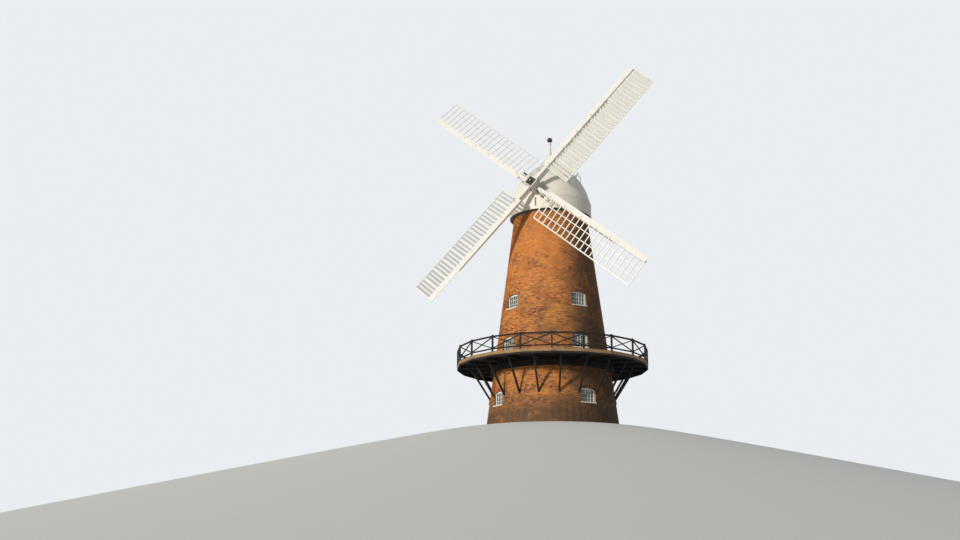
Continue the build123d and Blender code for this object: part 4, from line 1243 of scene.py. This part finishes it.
@dataclass(frozen=True)
class Sails:
    """Canister, stocks and sails: wedges, plates, sheaths, cranks and bolts."""

    outer_whip: float = 3.50
    stock_spacing: float = 0.30
    stock_size: float = 0.28
    tip_size: float = 0.17
    stock_length: float = 7.74
    heel: float = 1.45
    radius: float = 10.6
    whip_width: float = 0.19
    whip_depth: float = 0.14
    sheath: float = 0.012
    canister: float = 0.72
    front: float = 3.80
    clamps: tuple[float, ...] = (1.75, 3.2, 4.7, 6.2, 7.45)
    clamp_plate: Size = (0.07, 0.012, 0.003)
    bolt_half: float = 0.055
    crank_plate: Size = (0.10, 0.05, 0.012)
    crank_arm: Size = (0.04, 0.03, 0.008)
    crank_reach: float = 0.33
    wedge: Size = (0.10, 0.034, 0.005)
    wedge_length: float = 0.10
    end_plate: Size = (0.554, 0.554, 0.02)
    bays: tuple[int, int] = (10, 20)

    def sail_place(self, index: int) -> Array:
        """Place of a sail: its whip along Z, its lattice towards +X, its back towards +Y."""
        depth = self.outer_whip - (self.stock_spacing if index % 2 else 0.0)
        return SHAFT_PLACE @ turn(1, SAIL_TURN + 90.0 * index) @ shift(0.0, -depth, 0.0)

    def clamp(self, plates: Shell, bolts: Shell, place: Array, radius: float) -> None:
        """Set a plate on the whip and one behind the stock, with bolts through both.

        The stock is even to the heel and then tapers to its tip.

        Args:
            plates: where the plates go.
            bolts: where the bolts go.
            place: place of the sail.
            radius: distance of the clamp from the shaft.
        """
        front = -self.whip_depth / 2 - 0.005
        back = self.whip_depth / 2 + self.stock_size + 0.005
        share = np.clip((radius - self.heel) / (self.stock_length - self.heel), 0.0, 1.0)
        stock = self.stock_size + (self.tip_size - self.stock_size) * share
        reach = np.array([self.whip_width, stock]) / 2 - 0.004
        away = np.array([front, back])
        plates.bars(self.clamp_plate, joined(-reach, away, radius), joined(reach, away, radius),
                    FRONT, place)
        for away, normal in ((front - 0.006, FRONT), (back + 0.006, BACK)):
            spots = [(side * self.bolt_half, away, radius) for side in (-1, 1)]
            bolts.fit(BOLT, spots, normal, place)

    def bar_bolts(self, bolts: Shell, place: Array, bays: int) -> None:
        """Set a bolt through the whip at each sail bar."""
        radii = np.linspace(self.heel + 0.035, self.radius - 0.035, bays + 1)
        bolts.fit(BOLT, joined(0.0, -self.whip_depth / 2 - 0.001, radii), FRONT, place)

    def whip_heel(self, heels: Shell, place: Array) -> None:
        """Sheathe the bare whip from its heel to the canister."""
        size = (self.whip_width + self.sheath, self.whip_depth + self.sheath, 0.008)
        heels.bars(size, [(0.0, 0.0, self.canister / 2 + 0.012)], [(0.0, 0.0, self.heel - 0.004)],
                   FRONT, place, 0.1)

    def crank(self, iron: Shell, place: Array) -> None:
        """Bolt the dark iron crank beside the whip near the canister: a plate and its two arms."""
        reach = self.crank_reach
        iron.bars(self.crank_plate, [(reach, 0.0, 1.02)], [(reach, 0.0, 1.33)], FRONT, place)
        iron.bars(self.crank_arm, [(0.10, 0.0, 1.08), (0.10, 0.0, 1.26)],
                  [(reach, 0.0, 1.12), (reach, 0.0, 1.22)], FRONT, place)

    def hub(self, wedges: Shell, iron: Shell, pale: Shell) -> None:
        """Drive wedges in beside the stocks, bolt the canister and close its front.

        Args:
            wedges: where the timber wedges go.
            iron: where the dark end plate and the rod's eye go.
            pale: where the painted bolts go.
        """
        place = SHAFT_PLACE @ turn(1, SAIL_TURN)
        half = self.canister / 2
        beside = self.stock_size / 2 + 0.018
        starts = [(side * beside, y, -0.02) for side in (-1, 1) for y in (-0.07, 0.07)]
        for quarter, depth in ((0, 3.29), (2, 3.29), (1, 2.99), (3, 2.99)):
            spot = place @ turn(1, 90.0 * quarter) @ shift(0.0, -depth, half)
            wedges.bars(self.wedge, starts, (0.0, 0.0, self.wedge_length), RIGHT, spot)
        rim = half - 0.04
        spots = [(x, -self.front, z) for x in (-rim, 0.0, rim) for z in (-rim, 0.0, rim) if x or z]
        pale.fit(BOLT, spots, FRONT, place)
        iron.bars(self.end_plate, [(0.0, 0.058 - self.front, 0.0)], (0.0, -0.035, 0.0), UP, place)
        cheeks = [(half, -y, z) for y in (2.80, 3.14, 3.48, 3.72) for z in (-0.29, 0.29)]
        for quarter in range(4):
            pale.fit(WASHER_BOLT, cheeks, RIGHT, place @ turn(1, 90.0 * quarter))
        iron.fit(ROD_EYE, [(0.0, -self.front - 0.06, 0.0)], FRONT, place)

    def build(self) -> None:
        """Make the pieces of the hub and the sails."""
        plates, pale, iron, wedges, heels = (Shell() for _ in range(5))
        for index in range(4):
            place = self.sail_place(index)
            self.whip_heel(heels, place)
            for radius in self.clamps:
                self.clamp(plates, pale, place, radius)
            self.bar_bolts(pale, place, self.bays[index % 2])
            if index % 2:
                self.crank(iron, place)
        self.hub(wedges, iron, pale)
        plates.piece("stock_plates", Look.PALE_IRON, "sails", "sail_paint")
        pale.piece("sail_bolts", Look.PALE_IRON, "sails", "sail_paint")
        iron.piece("hub_irons", Look.IRON, "sails", "cast_iron")
        wedges.piece("stock_wedges", Look.OAK, "sails", "sail_paint")
        heels.piece("whip_heels", Look.SAIL, "sails", "sail_paint")


# Fantail


@dataclass(frozen=True)
class Fantail:
    """Fan wheel fittings: hub rings, blade battens and bolts."""

    distance: float = 4.3
    height: float = 19.2005
    blades: int = 6
    pitch: float = 40.0
    blade_ends: tuple[float, float] = (0.43, 1.55)
    blade_widths: tuple[float, float] = (0.33, 0.68)
    batten: Size = (0.05, 0.014, 0.004)

    def build(self) -> None:
        """Make the battens on the blades and the rings on the hub."""
        wheel = CAP_PLACE @ shift(0.0, self.distance, self.height)
        battens, iron = Shell(), Shell()
        share = np.array([0.12, 0.5, 0.88])
        radii = np.interp(share, (0.0, 1.0), self.blade_ends)
        half = np.interp(share, (0.0, 1.0), self.blade_widths) / 2 - 0.012
        bolts = np.stack([0.05 - half, half - 0.05], axis=1)
        for index in range(self.blades):
            place = wheel @ turn(0, 360.0 / self.blades * index) @ turn(2, self.pitch)
            for side in (-RIGHT, RIGHT):
                away = side[0] * 0.021
                battens.bars(self.batten, joined(away, -half, radii), joined(away, half, radii),
                             side, place)
                spots = joined(side[0] * 0.028, bolts, radii[:, None])
                iron.fit(BOLT, spots.reshape(-1, 3), side, place)
        iron.fit(HUB_RING, [(x, 0.0, 0.0) for x in (-0.18, -0.08, 0.08, 0.18)], RIGHT, wheel)
        battens.piece("fan_battens", Look.FAN, "fan", "fan_paint")
        iron.piece("fan_irons", Look.IRON, "fan", "cast_iron")


# Studio


@dataclass(frozen=True)
class Studio:
    """Pale floor that falls away in front, soft lamps, pale background and the camera."""

    focal_pixels: float = 1150.4
    frame_pixels: float = 960.0
    distance: float = 77.312
    height: float = -9.446
    pitch: float = 0.26171
    yaw: float = 0.0639
    roll: float = 0.00573
    pale: Colour = (0.80, 0.80, 0.79)
    level_to: float = 5.2
    slope: float = 0.24
    deepest: float = 13.5

    def camera(self) -> None:
        """Set the camera: it is turned to the yaw, pitched up and rolled about its sight line."""
        data = bpy.data.cameras.new("camera")
        data.lens = self.focal_pixels * data.sensor_width / self.frame_pixels
        data.clip_end = 1000.0
        data.dof.use_dof = False
        yaw, pitch, roll = (math.degrees(angle) for angle in (self.yaw, self.pitch, self.roll))
        aimed = turn(2, yaw) @ turn(0, 90.0 + pitch) @ turn(2, roll)
        place = shift(0.0, -self.distance, self.height) @ aimed
        bpy.context.scene.camera = placed("camera", data, place)

    def floor(self) -> None:
        """Lay the floor: level round the foot, falling away further out.

        The height at a distance r is minus a slope times (r - level) past the level part, eased
        in by a square near its edge.
        """
        distance = np.concatenate([[0.01, 2.5, 4.9], np.linspace(5.4, 14.0, 14),
                                   np.linspace(16.0, 70.0, 20), [120.0, 400.0]])
        past = np.maximum(distance - self.level_to, 0.0)
        level = -np.minimum(self.slope * past * past / (past + 2.5), self.deepest)
        azimuth = np.linspace(0.0, FULL_TURN, 96, endpoint=False)
        points = round_the_axis(azimuth, distance[:, None], level[:, None]).reshape(-1, 3)
        faces = [group[:, ::-1].tolist() for group in tube_faces(len(distance), 96)[:2]]
        mesh = bpy.data.meshes.new("floor")
        mesh.from_pydata(points.tolist(), [], faces[0] + faces[1])
        mesh.polygons.foreach_set("use_smooth", np.full(len(mesh.polygons), True))
        wiring = Wiring("floor_pale")
        grain = wiring.noise(0.6, 3.0)
        colour = wiring.mix(grain, self.pale, tuple(0.97 * value for value in self.pale))
        mesh.materials.append(wiring.finish(colour, (0.9, 0.95), grain, 0.001))
        thing = placed("floor", mesh)

    def background(self) -> None:
        """Even soft light all round, seen as a pale background."""
        world = bpy.data.worlds.new("studio")
        bpy.context.scene.world = world
        world.use_nodes = True
        nodes, links = world.node_tree.nodes, world.node_tree.links
        path, even = nodes.new("ShaderNodeLightPath"), nodes["Background"]
        even.inputs["Color"].default_value = (0.86, 0.92, 1.0, 1.0)
        even.inputs["Strength"].default_value = 0.22
        seen = nodes.new("ShaderNodeBackground")
        seen.inputs["Color"].default_value = (0.82, 0.85, 0.88, 1.0)
        total = path.outputs["Is Camera Ray"]
        for name in ("Is Glossy Ray", "Is Transmission Ray"):
            either = nodes.new("ShaderNodeMath")
            either.operation = "MAXIMUM"
            links.new(total, either.inputs[0])
            links.new(path.outputs[name], either.inputs[1])
            total = either.outputs[0]
        mixed = nodes.new("ShaderNodeMixShader")
        for index, output in enumerate((total, even.outputs[0], seen.outputs[0])):
            links.new(output, mixed.inputs[index])
        links.new(mixed.outputs[0], nodes["World Output"].inputs[0])

    def lamp(self, name: str, strength: float, azimuth: float, elevation: float, spread: float,
             colour: Colour) -> None:
        """Add a soft distant lamp.

        Args:
            name: its name.
            strength: its strength.
            azimuth: where it stands, from the front towards +X.
            elevation: its angle over the horizon.
            spread: angle that it fills, which softens shadows.
            colour: its colour.
        """
        data = bpy.data.lights.new(name, "SUN")
        data.energy, data.angle, data.color = strength, math.radians(spread), colour
        placed(name, data, turn(2, azimuth) @ turn(0, 90.0 - elevation))

    def build(self) -> None:
        """Set the floor, the light and the camera."""
        self.camera()
        self.floor()
        self.background()
        self.lamp("key", 2.75, -41.0, 14.0, 7.0, (1.0, 0.94, 0.82))
        self.lamp("fill", 0.10, 70.0, 35.0, 60.0, (0.9, 0.95, 1.0))
        bpy.context.scene.view_settings.view_transform = "Standard"


def main() -> None:
    """Build the mill's pieces in order, then the studio."""
    logging.basicConfig(level=logging.INFO, format="%(message)s")
    dress_nodes()
    for part in (Tower(), Stage(), Cap(), Sails(), Fantail()):
        part.build()
    Studio().build()


if __name__ == "__main__":
    main()
